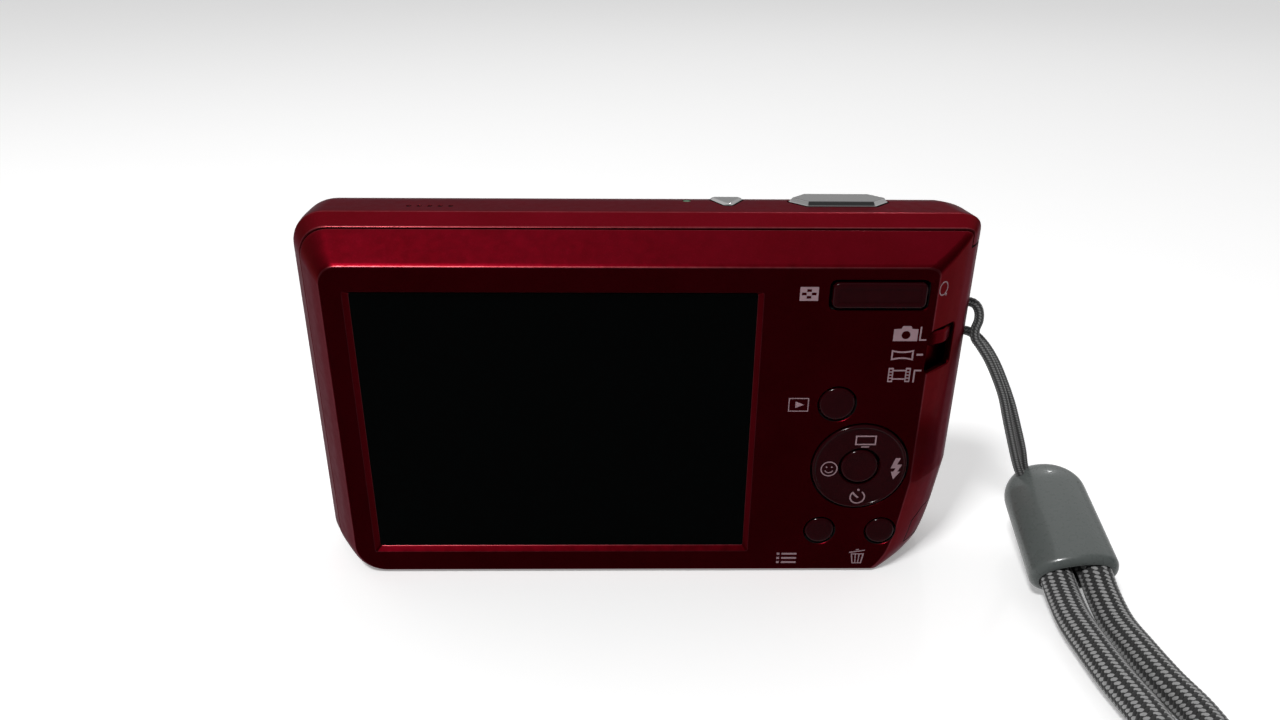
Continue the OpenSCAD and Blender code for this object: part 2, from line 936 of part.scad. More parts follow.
// Frame at a point of a route: two unit vectors square to the route.
function unit(v) = v / norm(v);
function heading(route, i) =
    unit(route[min(i + 1, len(route) - 1)] - route[max(i - 1, 0)]);

// Tube swept along a route, with flat ends. side_hint is a direction that the
// route never runs along.
module tube(route, radius, sides, side_hint) {
    rings = len(route);
    points = [for (i = [0 : rings - 1])
        let (t = heading(route, i),
             u = unit(cross(t, side_hint)),
             v = cross(u, t))
        for (k = [0 : sides - 1])
            route[i] + radius * (cos(360 * k / sides) * u + sin(360 * k / sides) * v)];
    walls = [for (i = [0 : rings - 2], k = [0 : sides - 1])
        let (a = i * sides + k,
             b = i * sides + (k + 1) % sides)
        [a, b, b + sides, a + sides]];
    ends = [[for (k = [sides - 1 : -1 : 0]) k],
            [for (k = [0 : sides - 1]) (rings - 1) * sides + k]];
    polyhedron(points, concat(walls, ends));
}

// The string leaves the ferrule, passes round the bar and comes back.
string_route = [
    [59.8, -1.6, 10.4], [58.9, -1, 12], [57.9, -0.9, 15.4], [56.4, -0.8, 19.5],
    [55.1, -0.6, 22.9], [53.6, -0.4, 26.1], [52.1, -0.1, 29], [50.5, 0.2, 31.4],
    [49, 0.5, 33], [47.7, 0.8, 33.8], [46.3, 0.8, 34.1], [44.8, 0.7, 34.4],
    [43.9, 0.6, 35.3], [43.6, 0.5, 36.4], [43.9, 0.3, 37.7], [44.9, 0.1, 38.7],
    [46.3, -0.1, 38.8], [47.4, -0.4, 38.5], [48, -0.7, 37.6], [48.1, -1, 36.3],
    [47.7, -1.3, 35], [47.8, -1.6, 33.8], [48.7, -1.8, 32.6], [50.1, -2, 30.6],
    [51.7, -2.1, 27.7], [53.1, -2.1, 24.7], [54.3, -2.1, 21.2],
    [55.6, -2.1, 17.5], [57.2, -2.1, 13.2], [58.4, -2.3, 10.8]
];

ferrule_top = [61.5, 1.6, 10.8];
ferrule_foot = [61.15, -14.7, 5.5];
ferrule_roll = 14;

// The braided loop leaves the ferrule, runs off to the front left and returns.
loop_route = [
    [58.7, -14.6, 4.8], [58.7, -18, 3.8], [58.6, -21, 3], [58.4, -25, 2.6],
    [58.6, -30, 2.6], [59, -35.5, 2.6], [59.9, -41.5, 2.6], [60, -47, 2.6],
    [58.2, -51.8, 2.6], [55, -55.2, 2.6], [50, -57.2, 2.6], [40, -57.8, 2.6],
    [28, -57.6, 2.6], [16, -57.2, 2.6], [4, -57, 2.6], [-8, -57, 2.6],
    [-20, -57.4, 2.6], [-26, -59.6, 2.6], [-30, -64, 2.6], [-31, -69, 2.6],
    [-29, -74, 2.6], [-25, -77.4, 2.6], [-19, -78.6, 2.6], [-8, -77.4, 2.6],
    [4, -74, 2.6], [16, -70, 2.6], [28, -66.4, 2.6], [40, -64, 2.6],
    [51, -62.8, 2.6], [58, -60.6, 2.6], [63.4, -56, 2.6], [66, -49.5, 2.6],
    [66.1, -42, 2.6], [64.9, -36, 2.6], [64.2, -30.5, 2.6], [63.8, -25.5, 2.6],
    [63.7, -21, 3.7], [63.7, -18, 5], [63.6, -15, 6.1]
];

module strap_string() {
    color("#77797a") tube(string_route, string_dia / 2, 8, [0, 1, 0]);
}

module wrist_loop() {
    color("#5c5e60") tube(loop_route, braid_dia / 2, 10, [0, 0, 1]);
}

// Bullet shaped sleeve, lying on its lower end.
module strap_ferrule() {
    axis = unit(ferrule_top - ferrule_foot);
    level = unit(cross(axis, [0, 0, 1]));
    side = level * cos(ferrule_roll) + cross(level, axis) * sin(ferrule_roll);
    color("#75797a")
        hull() {
            for (s = [-1, 1]) {
                translate(ferrule_foot + s * 2.4 * side)
                    sphere(r = 0.1, $fn = 16);
                translate(ferrule_foot + axis * 0.4 + s * 2.2 * side)
                    sphere(r = 3.9, $fn = 32);
                translate(ferrule_top - axis * 4.6 + s * 1.8 * side)
                    sphere(r = 4, $fn = 32);
            }
        }
}

rear_cover();
front_cover();
chassis();
case_screws();
lcd_window();
lcd_panel();
lcd_tray();
zoom_rocker();
mode_switch();
playback_button();
control_ring();
ring_pivot();
select_button();
menu_button();
delete_button();
power_button();
shutter_button();
key_board();
key_domes();
top_board();
top_switches();
lens_bezel();
lens_housing();
lens_barrel_outer();
lens_barrel_inner();
lens_front_plate();
lens_front_glass();
lens_rear_group();
barrier_upper();
barrier_lower();
image_sensor();
sensor_plate();
zoom_motor();
zoom_gear();
flash_window();
flash_reflector();
flash_tube();
flash_capacitor();
focus_lamp();
microphone();
speaker();
power_lamp();
main_board();
battery();
battery_case();
battery_contacts();
battery_latch();
memory_card();
card_slot();
multi_connector();
battery_door();
door_pin();
cord_cover();
tripod_socket();
strap_bar();
strap_string();
strap_ferrule();
wrist_loop();
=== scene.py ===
import json
from math import atan2, copysign, cos, hypot, pi, radians, sin

import bmesh
import bpy
import numpy as np
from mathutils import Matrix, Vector


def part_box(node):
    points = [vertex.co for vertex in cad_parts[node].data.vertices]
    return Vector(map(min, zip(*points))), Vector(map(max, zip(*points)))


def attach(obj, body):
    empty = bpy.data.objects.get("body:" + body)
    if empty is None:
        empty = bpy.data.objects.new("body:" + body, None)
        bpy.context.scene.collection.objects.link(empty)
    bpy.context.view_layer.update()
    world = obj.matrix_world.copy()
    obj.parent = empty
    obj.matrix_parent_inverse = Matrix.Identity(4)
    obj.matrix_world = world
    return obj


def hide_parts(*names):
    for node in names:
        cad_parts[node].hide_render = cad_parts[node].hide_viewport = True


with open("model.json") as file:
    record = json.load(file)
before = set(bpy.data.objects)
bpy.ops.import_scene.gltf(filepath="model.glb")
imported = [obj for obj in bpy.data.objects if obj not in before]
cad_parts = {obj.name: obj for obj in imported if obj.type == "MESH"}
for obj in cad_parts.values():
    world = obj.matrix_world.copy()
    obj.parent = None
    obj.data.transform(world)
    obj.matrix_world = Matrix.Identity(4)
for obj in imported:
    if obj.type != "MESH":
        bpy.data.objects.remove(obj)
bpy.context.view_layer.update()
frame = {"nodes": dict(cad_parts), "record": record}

# Places and sizes below are in millimetres, and "depth" is the distance from
# the flat back face towards the lens. Everything becomes metres when a mesh
# is made.
MM = 0.001
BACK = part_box("rear_cover")[0].y / MM
HALF_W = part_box("front_cover")[1].x / MM
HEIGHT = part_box("front_cover")[1].z / MM
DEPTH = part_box("front_cover")[1].y / MM - BACK


def limits(node):
    """Box of a CAD node as (x, depth, z) pairs of lowest and highest."""
    low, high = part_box(node)
    return ((low.x / MM, high.x / MM),
            (low.y / MM - BACK, high.y / MM - BACK),
            (low.z / MM, high.z / MM))


def centre_of(node):
    """Middle of a CAD node's box, as x, depth and z."""
    return [(low + high) / 2 for low, high in limits(node)]


# --- camera

def make_camera():
    """Looks down at the back of the object, as the photograph does."""
    data = bpy.data.cameras.new("view")
    data.sensor_width = 36
    data.lens = 26.72
    data.clip_start = 0.01
    data.clip_end = 20
    camera = bpy.data.objects.new("view", data)
    camera.location = (-0.00183, -0.12427, 0.08759)
    camera.rotation_euler = [radians(a) for a in (64.971, -0.437, -0.787)]
    bpy.context.scene.collection.objects.link(camera)
    bpy.context.scene.camera = camera


# --- shading

SOCKETS = {
    "colour": "Base Color", "rough": "Roughness", "metal": "Metallic",
    "coat": "Coat Weight", "coat_rough": "Coat Roughness", "ior": "IOR",
    "spec": "Specular IOR Level", "through": "Transmission Weight",
    "sheen": "Sheen Weight", "glow": "Emission Strength",
    "tint": "Specular Tint",
}


class Nodes:
    """A node tree being built, with short ways to add to it."""

    def __init__(self, tree):
        self.tree = tree
        self.coords = self.node("ShaderNodeTexCoord").outputs

    def node(self, kind, **settings):
        made = self.tree.nodes.new(kind)
        for key, value in settings.items():
            setattr(made, key, value)
        return made

    def feed(self, socket, value):
        if isinstance(value, bpy.types.NodeSocket):
            self.tree.links.new(value, socket)
        else:
            socket.default_value = value

    def math(self, operation, *values):
        made = self.node("ShaderNodeMath", operation=operation)
        for socket, value in zip(made.inputs, values):
            self.feed(socket, value)
        return made.outputs[0]

    def between(self, value, low, high, out_low=0.0, out_high=1.0, curve="LINEAR"):
        """Carries a range of values over to another."""
        made = self.node("ShaderNodeMapRange", interpolation_type=curve)
        for socket, number in zip(made.inputs[1:5], (low, high, out_low, out_high)):
            socket.default_value = number
        self.feed(made.inputs[0], value)
        return made.outputs[0]


class Finish(Nodes):
    """A material being built on a Principled shader."""

    def __init__(self, name, **sockets):
        self.material = bpy.data.materials.new(name)
        self.material.use_nodes = True
        super().__init__(self.material.node_tree)
        self.shader = self.tree.nodes["Principled BSDF"]
        for key, value in sockets.items():
            self.shader.inputs[SOCKETS[key]].default_value = value

    def noise(self, per_mm, detail=3.0, stretch=(1, 1, 1), roughness=0.5):
        """Noise with about that many features in a millimetre."""
        mapping = self.node("ShaderNodeMapping")
        mapping.inputs["Scale"].default_value = [s * per_mm / MM for s in stretch]
        self.feed(mapping.inputs["Vector"], self.coords["Object"])
        made = self.node("ShaderNodeTexNoise")
        made.inputs["Scale"].default_value = 1
        made.inputs["Detail"].default_value = detail
        made.inputs["Roughness"].default_value = roughness
        self.feed(made.inputs["Vector"], mapping.outputs[0])
        return made.outputs[0]

    def cells(self, per_mm):
        """A random grey for each small cell."""
        made = self.node("ShaderNodeTexVoronoi")
        made.inputs["Scale"].default_value = per_mm / MM
        self.feed(made.inputs["Vector"], self.coords["Object"])
        grey = self.node("ShaderNodeSeparateColor")
        self.feed(grey.inputs[0], made.outputs["Color"])
        return grey.outputs[0]

    def mix(self, share, first, second):
        made = self.node("ShaderNodeMix", data_type="RGBA")
        self.feed(made.inputs[0], share)
        self.feed(made.inputs[6], first)
        self.feed(made.inputs[7], second)
        return made.outputs[2]

    def colour(self, value):
        self.feed(self.shader.inputs["Base Color"], value)

    def rough(self, value):
        self.feed(self.shader.inputs["Roughness"], value)

    def bump(self, height, strength, distance):
        made = self.node("ShaderNodeBump")
        made.inputs["Strength"].default_value = strength
        made.inputs["Distance"].default_value = distance * MM
        self.feed(made.inputs["Height"], height)
        self.feed(self.shader.inputs["Normal"], made.outputs[0])


def grey(value):
    return (value, value, value, 1)


def moulded(name, dark, light, rough=(0.35, 0.5), grain=8, bump=0.01, **sockets):
    """Plastic or metal with a mottled colour, uneven gloss and a fine grain."""
    made = Finish(name, **sockets)
    made.colour(made.mix(made.noise(0.6), dark, light))
    made.rough(made.between(made.noise(1.7), 0.3, 0.7, *rough))
    made.bump(made.noise(grain), 0.4, bump)
    return name, made.material


def turned(name, dark, light, stretch, rough=(0.2, 0.35), **sockets):
    """Metal with fine straight or round tool lines along one direction."""
    made = Finish(name, metal=1.0, **sockets)
    lines = made.noise(9, detail=2, stretch=stretch)
    made.colour(made.mix(lines, dark, light))
    made.rough(made.between(lines, 0.3, 0.7, *rough))
    made.bump(lines, 0.25, 0.01)
    return name, made.material


PAINT, FLAKE, BARE_AND_HIGHLIGHT = (0.14, 0.0006, 0.005, 1), (0.24, 0.003, 0.016, 1), (0.6, 0.2, 0.22, 1)


def painted(name, wear_and_highlight=0.0):
    """Dark red metallic paint under clear lacquer. The second argument lightens it in places,
    which is for the edges: worn paint together with a painted highlight."""
    made = Finish(name, metal=0.97, coat=0.05, coat_rough=0.15, spec=0.3,
                  tint=(0.52, 0.42, 0.46, 1))
    flakes = made.cells(7)
    cloud = made.noise(0.12, detail=2)
    base = made.mix(made.between(cloud, 0.3, 0.7, 0.0, 0.25), PAINT, FLAKE)
    base = made.mix(made.between(flakes, 0.75, 1.0, 0.0, 0.25), base, FLAKE)
    if wear_and_highlight:
        # Lighter patches on the edges: worn paint, and a painted highlight line.
        rubbed_and_lit = made.between(made.noise(0.9, detail=6, roughness=0.7), 0.35, 0.65, 0.1, wear_and_highlight)
        base = made.mix(rubbed_and_lit, base, BARE_AND_HIGHLIGHT)
    made.colour(base)
    made.rough(made.between(made.noise(0.8), 0.3, 0.7, 0.3, 0.38))
    made.bump(flakes, 0.05, 0.01)
    return name, made.material


# A braid's stitches: the lean of the light ones, and the half width and half
# height of the light and the dark ones, in columns and stitches.
SKEW, LIGHT_SIZE, DARK_SIZE = 0.85, (0.33, 0.42), (0.43, 0.46)


def braided_finish(name, yarn, fleck, gap):
    """Yarns of a braid, drawn from the mesh's own column and stitch counts, with painted shade in
    the gaps between the stitches.
    """
    made = Finish(name, sheen=0.25, spec=0.3)
    uv = made.node("ShaderNodeSeparateXYZ")
    made.feed(uv.inputs[0], made.coords["UV"])

    def stitch(shift, lean, size):
        """Height of one set of stitches, and the place across it."""
        across = made.math("ADD", uv.outputs[0], shift + 0.5)
        across = made.math("SUBTRACT", made.math("FRACT", across), 0.5)
        along = made.math("MULTIPLY_ADD", across, lean, uv.outputs[1])
        along = made.math("ADD", along, shift + 0.5)
        along = made.math("SUBTRACT", made.math("FRACT", along), 0.5)
        wide = made.math("POWER", made.math("DIVIDE", across, size[0]), 2.0)
        tall = made.math("POWER", made.math("DIVIDE", along, size[1]), 2.0)
        return made.math("SUBTRACT", 1.0, made.math("ADD", wide, tall)), along

    light, light_across = stitch(0.0, SKEW, LIGHT_SIZE)
    dark, _ = stitch(0.5, -SKEW, DARK_SIZE)
    fibre = made.noise(14, detail=2)
    strands = made.math("SINE", made.math("MULTIPLY", light_across, 40.0))
    tone = made.math("MULTIPLY_ADD", strands, 0.12, fibre)
    pale = made.mix(tone, grey(fleck * 0.55), grey(fleck * 1.15))
    deep = made.mix(fibre, grey(yarn * 0.45), grey(yarn * 1.5))
    on_top = made.between(made.math("SUBTRACT", light, dark), -0.15, 0.15)
    covered = made.between(made.math("MAXIMUM", light, dark), -0.25, 0.35)
    # Where no stitch covers, the near-black gap colour is painted shade between the stitches.
    made.colour(made.mix(covered, grey(gap), made.mix(on_top, deep, pale)))
    made.rough(made.between(fibre, 0.2, 0.8, 0.55, 0.85))
    made.bump(fibre, 0.5, 0.03)
    return name, made.material


# --- meshes

# Slots of the casing, by the material index of its faces, and of the keys.
SHELL = ("body_paint", "edge_paint", "dark_plastic")
# EDGE faces take the edge paint, which is worn paint together with a painted highlight along the
# edges.
# INSIDE faces, the walls of openings and of the hollow, take the dark plastic: painted shade in the
# gaps and openings.
EDGE, INSIDE = 1, 2
KEY = ("key_plastic",)
# Radius of a corner that stays sharp.
SHARP = 0.02


def new_solid(name, verts, faces, slots, indices=None, uvs=None):
    """Mesh object from points in millimetres, with the finishes of its slots."""
    mesh = bpy.data.meshes.new(name)
    mesh.from_pydata([[c * MM for c in v] for v in verts], [], faces)
    for slot in slots:
        mesh.materials.append(finishes[slot])
    if indices is not None:
        mesh.polygons.foreach_set("material_index", indices)
    if uvs is not None:
        layer = mesh.uv_layers.new(name="weave")
        layer.data.foreach_set("uv", np.asarray(uvs, np.float32).ravel())
    work = bmesh.new()
    work.from_mesh(mesh)
    bmesh.ops.recalc_face_normals(work, faces=work.faces)
    work.to_mesh(mesh)
    work.free()
    made = bpy.data.objects.new(name, mesh)
    bpy.context.scene.collection.objects.link(made)
    return made


def settle(piece, body, slot, *nodes, angle=32, weighted=True):
    """Finishes a piece: smooth shading between creases, the body that it moves
    with, its slot, which is not used, and the CAD nodes that it stands for."""
    piece.data.shade_smooth()
    piece.data.set_sharp_from_angle(angle=radians(angle))
    if weighted:
        flat = piece.modifiers.new("even_shading", "WEIGHTED_NORMAL")
        flat.keep_sharp = True
    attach(piece, body)
    if nodes:
        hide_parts(*nodes)


def combine(target, others, operation="DIFFERENCE"):
    """Cuts, joins or crosses a solid with others, which are used up."""
    for other in others:
        step = target.modifiers.new("cut", "BOOLEAN")
        step.operation = operation
        step.object = other
        step.solver = "MANIFOLD"
    bpy.context.view_layer.update()
    graph = bpy.context.evaluated_depsgraph_get()
    result = bpy.data.meshes.new_from_object(target.evaluated_get(graph))
    target.modifiers.clear()
    old = target.data
    target.data = result
    bpy.data.meshes.remove(old)
    for other in others:
        bpy.data.objects.remove(other)


# Where a flat shape (u, v) drawn at a height h lies on each side. On the back
# h is the depth; elsewhere it is how far the point is under the surface.

def on_back(u, v, h):
    return (u, BACK + h, v)


def on_front(u, v, h):
    return (u, BACK + DEPTH - h, v)


def on_top(u, v, h):
    return (u, BACK + v, HEIGHT - h)


def on_base(u, v, h):
    return (u, BACK + v, h)


def on_side(u, v, h):
    return (HALF_W - h, BACK + u, v)


SLOPE = radians(41.6)


def on_slope(u, v, h):
    x = HALF_W - RIGHT_IN[0][1] + u * cos(SLOPE) - h * sin(SLOPE)
    return (x, BACK + u * sin(SLOPE) + h * cos(SLOPE), v)


def circle(r, n=64, centre=(0, 0)):
    """Shape function of a circle: its outline when grown."""
    def outline(grow):
        return [(centre[0] + (r + grow) * cos(2 * pi * k / n),
                 centre[1] + (r + grow) * sin(2 * pi * k / n))
                for k in range(n)]
    return outline


def hull_of(spots, r, n=10):
    """Shape function of a convex shape with round corners, anticlockwise."""
    def outline(grow):
        points = []
        count = len(spots)
        for i, spot in enumerate(spots):
            before, after = spots[i - 1], spots[(i + 1) % count]
            start = atan2(spot[1] - before[1], spot[0] - before[0]) - pi / 2
            end = atan2(after[1] - spot[1], after[0] - spot[0]) - pi / 2
            turn = (end - start) % (2 * pi)
            for k in range(n + 1):
                a = start + turn * k / n
                points.append((spot[0] + max(r + grow, 0.01) * cos(a),
                               spot[1] + max(r + grow, 0.01) * sin(a)))
        return points
    return outline


def round_rect(u, v, r, n=6):
    """Shape function of a rectangle with round corners."""
    return hull_of([(u[0] + r, v[0] + r), (u[1] - r, v[0] + r),
                    (u[1] - r, v[1] - r), (u[0] + r, v[1] - r)], r, n)


def walls(count, n):
    """Faces between each ring of n points and the next."""
    return [[i * n + k, i * n + (k + 1) % n, (i + 1) * n + (k + 1) % n, (i + 1) * n + k]
            for i in range(count - 1) for k in range(n)]


def tube(name, rings, kinds, slots=SHELL, foot=None):
    """Closed solid through rings of points. kinds are the material indices from
    each ring to the next, and foot is that of the first end."""
    n = len(rings[0])
    last = (len(rings) - 1) * n
    faces = [list(range(n))[::-1], *walls(len(rings), n), [last + k for k in range(n)]]
    bands = [kind for kind in kinds[:-1] for _ in range(n)]
    indices = [kinds[0] if foot is None else foot, *bands, kinds[-1]]
    return new_solid(name, [p for ring in rings for p in ring], faces, slots, indices)


def stack(name, shape, steps, place, slots=SHELL):
    """Solid through the outlines of a shape at several heights. A step is a
    height, how far the shape is grown, and the material up to the next."""
    rings = [[place(u, v, step[0]) for u, v in shape(step[1])] for step in steps]
    kinds = [step[2] if len(step) > 2 else 0 for step in steps]
    return tube(name, rings, kinds, slots)


def lathe(name, loop, place, slots, n=96):
    """Solid of revolution from a closed loop of (radius, height) points."""
    verts = [place(r * cos(2 * pi * k / n), r * sin(2 * pi * k / n), h)
             for k in range(n) for r, h in loop]
    count = len(loop)
    faces = []
    for k in range(n):
        for i in range(count):
            a, b = k * count + i, k * count + (i + 1) % count
            after = ((k + 1) % n - k) * count
            faces.append([a, b, b + after, a + after])
    return new_solid(name, verts, faces, slots)


def rounded_end(height, size, toward=1, n=4):
    """Steps of a round edge that ends at a height, from the flat outwards."""
    return [(height + toward * size * (1 - cos(a)), -size * (1 - sin(a)))
            for a in np.linspace(0, pi / 2, n + 1)]


FLARE = 0.14


def opening(shape, place, depth, gap=0.0, flare=FLARE, inside=INSIDE):
    """Cutter of a hole from a surface down, with a softly broken rim. Its walls take the inside
    material, whose dark plastic is painted shade in the gap round a key.
    """
    steps = [(-2.0, gap + flare), (0.0, gap + flare), (flare * 0.15, gap + flare * 0.5),
             (flare * 0.5, gap + flare * 0.15), (flare, gap, inside), (depth, gap, inside)]
    return stack("cutter", shape, steps, place)


def block(x, depth, z):
    """Plain box cutter that leaves inside faces."""
    shape = round_rect(x, z, SHARP, 1)
    return stack("cutter", shape, [(depth[0], 0, INSIDE), (depth[1], 0, INSIDE)], on_back)


# --- cords

def smooth_route(points, spacing):
    """Evenly spaced points of a curve through the points of a route."""
    p = np.array(points, float)
    p = np.vstack([2 * p[0] - p[1], p, 2 * p[-1] - p[-2]])
    t = np.linspace(0, 1, 40, endpoint=False)[:, None]
    parts = []
    for a, b, c, d in zip(p, p[1:], p[2:], p[3:]):
        parts.append(0.5 * (2 * b + (c - a) * t + (2 * a - 5 * b + 4 * c - d) * t ** 2
                            + (3 * b - a - 3 * c + d) * t ** 3))
    curve = np.vstack(parts + [p[-2:-1]])
    along = np.concatenate([[0], np.cumsum(np.linalg.norm(np.diff(curve, axis=0), axis=1))])
    marks = np.linspace(0, along[-1], int(round(along[-1] / spacing)) + 1)
    return np.column_stack([np.interp(marks, along, curve[:, k]) for k in range(3)])


def stitches(u, v):
    """Height of a braid's stitches, 0 to 1, at counts of columns and stitches."""
    def lump(shift, lean, size):
        across = (u + shift + 0.5) % 1 - 0.5
        along = (v + lean * across + shift + 0.5) % 1 - 0.5
        height = 1 - (across / size[0]) ** 2 - (along / size[1]) ** 2
        return np.sqrt(np.clip(height, 0, 1))
    return np.maximum(lump(0, SKEW, LIGHT_SIZE), 0.85 * lump(0.5, -SKEW, DARK_SIZE))


def braid(name, route, radius, columns, pitch, relief, slot):
    """Braided cord along a route, with every stitch raised from the mesh, and
    the line along its middle."""
    per_column, per_stitch = 6, 5
    line = smooth_route(route, pitch / per_stitch)
    sides = columns * per_column
    heading = np.gradient(line, axis=0)
    heading /= np.linalg.norm(heading, axis=1)[:, None]
    first = np.cross(heading[0], (0, 1, 0.3))
    spokes = [first / np.linalg.norm(first)]
    for t in heading[1:]:
        spoke = spokes[-1] - t * np.dot(spokes[-1], t)
        spokes.append(spoke / np.linalg.norm(spoke))
    spokes = np.array(spokes)
    other = np.cross(heading, spokes)
    rings = len(line)
    k = np.arange(sides)
    angle = 2 * np.pi * k / sides
    u = k / per_column
    v = np.arange(rings)[:, None] / per_stitch
    height = stitches(u[None, :], v)
    reach = (radius - relief + relief * height)[..., None]
    verts = (line[:, None, :] + reach * (np.cos(angle)[None, :, None] * spokes[:, None, :]
                                         + np.sin(angle)[None, :, None] * other[:, None, :]))
    faces = walls(rings, sides)
    uvs = [((side + du) / per_column, (i + dv) / per_stitch)
           for i in range(rings - 1) for side in range(sides)
           for du, dv in ((0, 0), (1, 0), (1, 1), (0, 1))]
    for base, order in ((0, k[::-1]), ((rings - 1) * sides, k)):
        faces.append([int(base + j) for j in order])
        uvs += [(0, 0)] * sides
    return new_solid(name, verts.reshape(-1, 3), faces, [slot], uvs=uvs), line


# The routes of part.scad: the string from the sleeve round the eyelet bar and
# back, and the braid from the sleeve along the floor and back.
STRING_ROUTE = [
    (59.8, -1.6, 10.4), (58.9, -1, 12), (57.9, -0.9, 15.4), (56.4, -0.8, 19.5),
    (55.1, -0.6, 22.9), (53.6, -0.4, 26.1), (52.1, -0.1, 29), (50.5, 0.2, 31.4),
    (49, 0.5, 33), (47.7, 0.8, 33.8), (46.3, 0.8, 34.1), (44.8, 0.7, 34.4),
    (43.9, 0.6, 35.3), (43.6, 0.5, 36.4), (43.9, 0.3, 37.7), (44.9, 0.1, 38.7),
    (46.3, -0.1, 38.8), (47.4, -0.4, 38.5), (48, -0.7, 37.6), (48.1, -1, 36.3),
    (47.7, -1.3, 35), (47.8, -1.6, 33.8), (48.7, -1.8, 32.6), (50.1, -2, 30.6),
    (51.7, -2.1, 27.7), (53.1, -2.1, 24.7), (54.3, -2.1, 21.2),
    (55.6, -2.1, 17.5), (57.2, -2.1, 13.2), (58.4, -2.3, 10.8),
]
LOOP_ROUTE = [
    (58.7, -14.6, 4.8), (58.7, -18, 3.8), (58.6, -21, 3), (58.4, -25, 2.6),
    (58.6, -30, 2.6), (59, -35.5, 2.6), (59.9, -41.5, 2.6), (60, -47, 2.6),
    (58.2, -51.8, 2.6), (55, -55.2, 2.6), (50, -57.2, 2.6), (40, -57.8, 2.6),
    (28, -57.6, 2.6), (16, -57.2, 2.6), (4, -57, 2.6), (-8, -57, 2.6),
    (-20, -57.4, 2.6), (-26, -59.6, 2.6), (-30, -64, 2.6), (-31, -69, 2.6),
    (-29, -74, 2.6), (-25, -77.4, 2.6), (-19, -78.6, 2.6), (-8, -77.4, 2.6),
    (4, -74, 2.6), (16, -70, 2.6), (28, -66.4, 2.6), (40, -64, 2.6),
    (51, -62.8, 2.6), (58, -60.6, 2.6), (63.4, -56, 2.6), (66, -49.5, 2.6),
    (66.1, -42, 2.6), (64.9, -36, 2.6), (64.2, -30.5, 2.6), (63.8, -25.5, 2.6),
    (63.7, -21, 3.7), (63.7, -18, 5), (63.6, -15, 6.1),
]
STRING_DIA, STRING_LENGTH = 1.3, 69
BRAID_DIA, BRAID_LENGTH = 5, 282
FERRULE_TOP, FERRULE_FOOT = Vector((61.5, 1.6, 10.8)), Vector((61.15, -14.7, 5.5))
FERRULE_ROLL = radians(14)
# Along the sleeve from its foot: the mouth, the start of the dome and its length.
MOUTH, DOME_START, DOME = -3.3, 11.0, 5.5


def make_ferrule():
    """Smooth grey sleeve: a dome where the string goes in and a rounded mouth
    where the two braids come out, dark inside as painted shade."""
    axis = (FERRULE_TOP - FERRULE_FOOT).normalized()
    level = axis.cross(Vector((0, 0, 1))).normalized()
    side = level * cos(FERRULE_ROLL) + level.cross(axis) * sin(FERRULE_ROLL)
    up = side.cross(axis)
    lip, tip = 1.1, 0.9

    def sizes(t):
        """Half width and half thickness at a place along the sleeve."""
        share = min(max((t - MOUTH) / (DOME_START - MOUTH), 0), 1)
        return 6.05 - 0.3 * share, 3.85 + 0.12 * sin(pi * share)

    def oval(t, wide, thick, n=72, power=2 / 2.35):
        """Points of a squarish oval about the sleeve's axis."""
        points = []
        for k in range(n):
            a = 2 * pi * k / n
            c, s = cos(a), sin(a)
            points.append(FERRULE_FOOT + axis * t
                          + side * (wide * copysign(abs(c) ** power, c))
                          + up * (thick * copysign(abs(s) ** power, s)))
        return points

    steps = [(MOUTH + 2.6, -1.9), (MOUTH + 1.3, -1.7), (MOUTH + 0.5, -1.45)]
    dark = len(steps)
    steps += [(MOUTH + lip * (1 - sin(a)), -lip * (1 - cos(a)))
              for a in np.linspace(pi / 2, 0, 7)]
    steps += [(t, 0) for t in np.linspace(MOUTH + lip, DOME_START, 14)[1:]]
    rings = [oval(t, *(size + grow for size in sizes(t))) for t, grow in steps]
    wide, thick = sizes(DOME_START)
    for a in np.linspace(0, pi / 2, 14)[1:-1]:
        narrow = cos(a)
        rings.append(oval(DOME_START + DOME * sin(a),
                          tip * narrow ** 2 + (wide - tip) * narrow, thick * narrow))
    # The rings inside the mouth take the dark plastic: painted shade in the hollow.
    kinds = [1] * dark + [0] * (len(rings) - dark)
    return tube("ferrule_sleeve", rings, kinds, ("ferrule_grey", "dark_plastic"))


def make_strap():
    """The thin string, the grey sleeve and the braided loop."""
    string, line = braid("string_strands", STRING_ROUTE, STRING_DIA / 2 + 0.03, 6, 0.42, 0.09,
                         "string_cord")
    settle(string, "camera", "string_cord", "strap_string", angle=180, weighted=False)
    sleeve = make_ferrule()
    settle(sleeve, "camera", "ferrule_grey", "strap_ferrule", angle=50)
    loop, loop_line = braid("braided_loop", LOOP_ROUTE, BRAID_DIA / 2 - 0.2, 10, 0.64, 0.22,
                            "braid_cord")
    settle(loop, "camera", "braid_cord", "wrist_loop", angle=180, weighted=False)
    # Keeps the near loop out of the screen's reflection, as in the photograph.
    loop.visible_glossy = False


# --- casing

